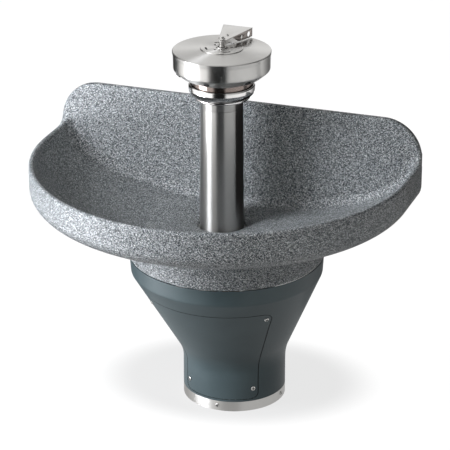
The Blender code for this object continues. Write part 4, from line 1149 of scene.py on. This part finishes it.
def make_fasteners():
    """The rod's threaded top with its nut and washer."""
    pitch = 0.00175
    depth = 0.0009
    top = ROD_HIGH.z
    profile = [(0, top), (ROD_R - 0.0012, top)]
    z = top - 0.0012
    while z > NUT_LOW.z - 0.004:
        profile += [(ROD_R, z), (ROD_R - depth, z - pitch / 2)]
        z -= pitch
    low = ROD_LOW.z
    collars = [(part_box("hub_disc")[1].z + GAP, 0.003), (BRACKET_HIGH.z - 0.002 - GAP - 0.0025, 0.0025)]
    for bottom, tall in reversed(collars):
        profile += [(ROD_R, bottom + tall), (0.0095, bottom + tall), (0.0095, bottom), (ROD_R, bottom)]
    profile += [(ROD_R, low), (0, low)]
    fixed_steel(turned("brace_rod", profile, SHEET, 48), "tie_rod")

    nut = plate("rod_nut", [circle(NUT_CORNER_R, sides=6), circle(ROD_R + GAP, sides=48)],
                NUT_LOW.z, NUT_HIGH.z - NUT_LOW.z, SHEET)
    middle = (NUT_LOW.z + NUT_HIGH.z) / 2
    half = (NUT_HIGH.z - NUT_LOW.z) / 2
    upper = [(0, half + 0.001), (0.0088, half + 0.001), (0.0088, half), (NUT_CORNER_R + 0.0001, half - 0.0014)]
    cone = [(r, middle + z) for r, z in upper] + [(r, middle - z) for r, z in reversed(upper)]
    boolean(nut, turned("nut_cone", cone, SHEET, 64), "INTERSECT")
    fixed_steel(smooth(nut, 25), "top_nut")

    washer = [(0.0125, WASHER_HIGH.z), (0.0125, WASHER_LOW.z), (ROD_R + GAP, WASHER_LOW.z),
              (ROD_R + GAP, WASHER_HIGH.z)]
    fixed_steel(smooth(bevel(turned("rod_washer", washer, SHEET, 64), 0.0002)), "top_washer")


# ---------------- everything inside
def welded(node, mat):
    """A copy of a frame piece with its vertices joined."""
    bm = bmesh.new()
    bm.from_mesh(frame["nodes"][node].data)
    bmesh.ops.remove_doubles(bm, verts=bm.verts, dist=0.00001)
    bmesh.ops.dissolve_limit(bm, angle_limit=math.radians(1.0), verts=bm.verts, edges=bm.edges)
    return from_bmesh(node + "_fine", bm, mat)


def make_ring_spring(node):
    """A coil under the touch ring, on the fountain's body, with a mesh of its own."""
    coil = smooth(welded(node, SHEET), 60)
    fixed_steel(coil, node)
    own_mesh(coil)


def make_inside():
    """Internals keep their shape and get broken edges and their own finish."""
    bodies = frame["record"]["behaviour"]["bodies"]
    home = {node: body for body, nodes in bodies.items() for node in nodes}
    for part in frame["record"]["subparts"]:
        node, slot = part["node"], part["material_slot"]
        shown = frame["nodes"][node]
        if shown.hide_render:
            continue
        if node.startswith("ring_spring"):
            make_ring_spring(node)
        else:
            obj = settle(bevel(welded(node, MATERIALS[slot]), 0.0006, 2, 45))
            finished(smooth(obj, 40), home[node], slot, node)


# ---------------- stage, light, camera
def glowing(name, strength, colour=(1.0, 1.0, 1.0)):
    """Plain emission, only for stage pieces; colour may be a function of the shader."""
    s = Shader(name)
    glow = s.node("Emission", {"Color": colour(s) if callable(colour) else colour, "Strength": strength})
    s.put(s.tree.nodes["Material Output"].inputs["Surface"], glow.outputs[0])
    s.tree.nodes.remove(s.main)
    return s.mat


def unseen(obj):
    """Let a stage piece show in reflections only."""
    for kind in ("camera", "diffuse", "shadow", "transmission", "volume_scatter"):
        setattr(obj, "visible_" + kind, False)


def room_tones(s):
    """Light and dark by direction: one list of tones low down, one high up."""
    axes = s.node("SeparateXYZ", {0: s.place}).outputs
    angle = s.math("ARCTAN2", axes[0], s.math("MULTIPLY", axes[1], -1.0))
    share = s.node("MapRange", {0: angle, 1: -math.pi, 2: math.pi}).outputs[0]
    low, high = [s.ramp(share, [(degrees / 360 + 0.5, tone / ROOM_BRIGHTEST) for degrees, tone in stops])
                 for stops in (ROOM_LEFT + ROOM_RIGHT_LOW, ROOM_LEFT + ROOM_RIGHT_HIGH)]
    level = s.node("MapRange", {0: axes[2], 1: -ROOM_BLEND_Z, 2: ROOM_BLEND_Z}).outputs[0]
    return s.mix(level, low, high)


def reflection_dome():
    """A room, seen only in reflections, turned with the camera's azimuth."""
    bm = bmesh.new()
    bmesh.ops.create_uvsphere(bm, u_segments=96, v_segments=48, radius=ROOM_RADIUS)
    room = glowing("reflection_dome", ROOM_BRIGHTEST, room_tones)
    dome = from_bmesh("reflection_dome", bm, room, (0, 0, ROOM_MIDDLE_Z))
    dome.rotation_euler = (0, 0, math.radians(CAMERA_AZIMUTH))
    unseen(dome)


def post_shade():
    """A black screen behind the post on the right, seen only in reflections."""
    bm = bmesh.new()
    rows = []
    for z in SHADE_Z:
        spots = [toward(CAMERA_AZIMUTH + SHADE_START + SHADE_STEP * i, 0, SHADE_R, (0, 0, z))
                 for i in range(SHADE_STEPS)]
        rows.append([bm.verts.new(spot) for spot in spots])
    for i in range(SHADE_STEPS - 1):
        bm.faces.new((rows[0][i], rows[0][i + 1], rows[1][i + 1], rows[1][i]))
    unseen(from_bmesh("post_shade", bm, glowing("post_shade", 0.015)))


def floor_glow():
    """The white floor round the foot, as the steel band sees it."""
    bm = bmesh.new()
    bmesh.ops.create_circle(bm, cap_ends=True, segments=64, radius=GLOW_R)
    unseen(from_bmesh("floor_glow", bm, glowing("floor_glow", 0.62), (0, 0, 0.0004)))


def area_light(name, size, centre, aim, watts, colour):
    data = bpy.data.lights.new(name, "AREA")
    data.shape = "RECTANGLE"
    data.size, data.size_y = size
    data.energy = watts
    data.color = colour
    light = bpy.data.objects.new(name, data)
    light.location = centre
    set_turn(light, (Vector(aim) - Vector(centre)).to_track_quat("-Z", "Y"))
    light.visible_camera = False
    light.visible_glossy = name in LIGHTS_IN_REFLECTIONS
    looks.objects.link(light)


def make_stage():
    """Plain pale floor with a painted soft shadow under the piece, a darker patch in its glow; soft studio
    light.
    """
    s = Shader("studio_floor", Roughness=0.9, Specular_IOR_Level=0.1)
    # The floor's glow dips to 0.77 in a soft ellipse under the piece: a painted shadow of the bowl.
    patch = s.node("Mapping", {"Vector": s.place, "Location": PAINTED_SHADOW_CENTRE,
                               "Rotation": (0.0, 0.0, math.radians(PAINTED_SHADOW_TURN)),
                               "Scale": PAINTED_SHADOW_SIZE}, vector_type="TEXTURE").outputs[0]
    out = s.from_axis(s.node("SeparateXYZ", {0: patch}).outputs)
    glow = s.node("MapRange", {0: out, 1: 0.70, 2: 1.12, 3: 0.77, 4: 1.0},
                  interpolation_type="SMOOTHSTEP").outputs[0]
    s.set(Base_Color=s.mix(s.noise(s.place, 3, 2), (0.046, 0.046, 0.046), (0.054, 0.054, 0.054)),
          Emission_Color=(1.0, 1.0, 1.0), Emission_Strength=glow)
    bm = bmesh.new()
    bmesh.ops.create_grid(bm, x_segments=1, y_segments=1, size=30)
    floor = from_bmesh("studio_floor", bm, s.mat, (0, 0, -0.0005))
    floor.visible_diffuse = False
    floor.visible_glossy = False
    reflection_dome()
    post_shade()
    floor_glow()

    world = bpy.data.worlds.new("studio")
    bpy.context.scene.world = world
    world.use_nodes = True
    sky = world.node_tree.nodes["Background"]
    sky.inputs["Color"].default_value = (1.0, 1.0, 1.0, 1.0)
    sky.inputs["Strength"].default_value = SKY_STRENGTH
    for light in LIGHTS:
        area_light(*light)


def toward(azimuth, elevation, distance, centre):
    """A place seen from a centre; azimuth 0 is straight in front, +90 on the right."""
    a, e = math.radians(azimuth), math.radians(elevation)
    return Vector(centre) + distance * Vector((math.sin(a) * math.cos(e), -math.cos(a) * math.cos(e),
                                               math.sin(e)))


def make_camera():
    """Long lens from the right front, looking down a little."""
    data = bpy.data.cameras.new("camera")
    data.lens = CAMERA_LENS
    data.sensor_width = 36.0
    data.clip_end = 100
    camera = bpy.data.objects.new("camera", data)
    camera.location = toward(CAMERA_AZIMUTH, CAMERA_ELEVATION, CAMERA_DISTANCE, (0, 0, CAMERA_AIM_Z))
    camera.rotation_euler = [math.radians(angle) for angle in CAMERA_TILT]
    looks.objects.link(camera)
    bpy.context.scene.camera = camera
    bpy.context.scene.view_settings.view_transform = "Standard"


make_camera()
make_stage()
make_bowl()
make_pedestal()
make_column()
make_touch_ring()
make_head()
make_bracket()
make_fasteners()
make_inside()
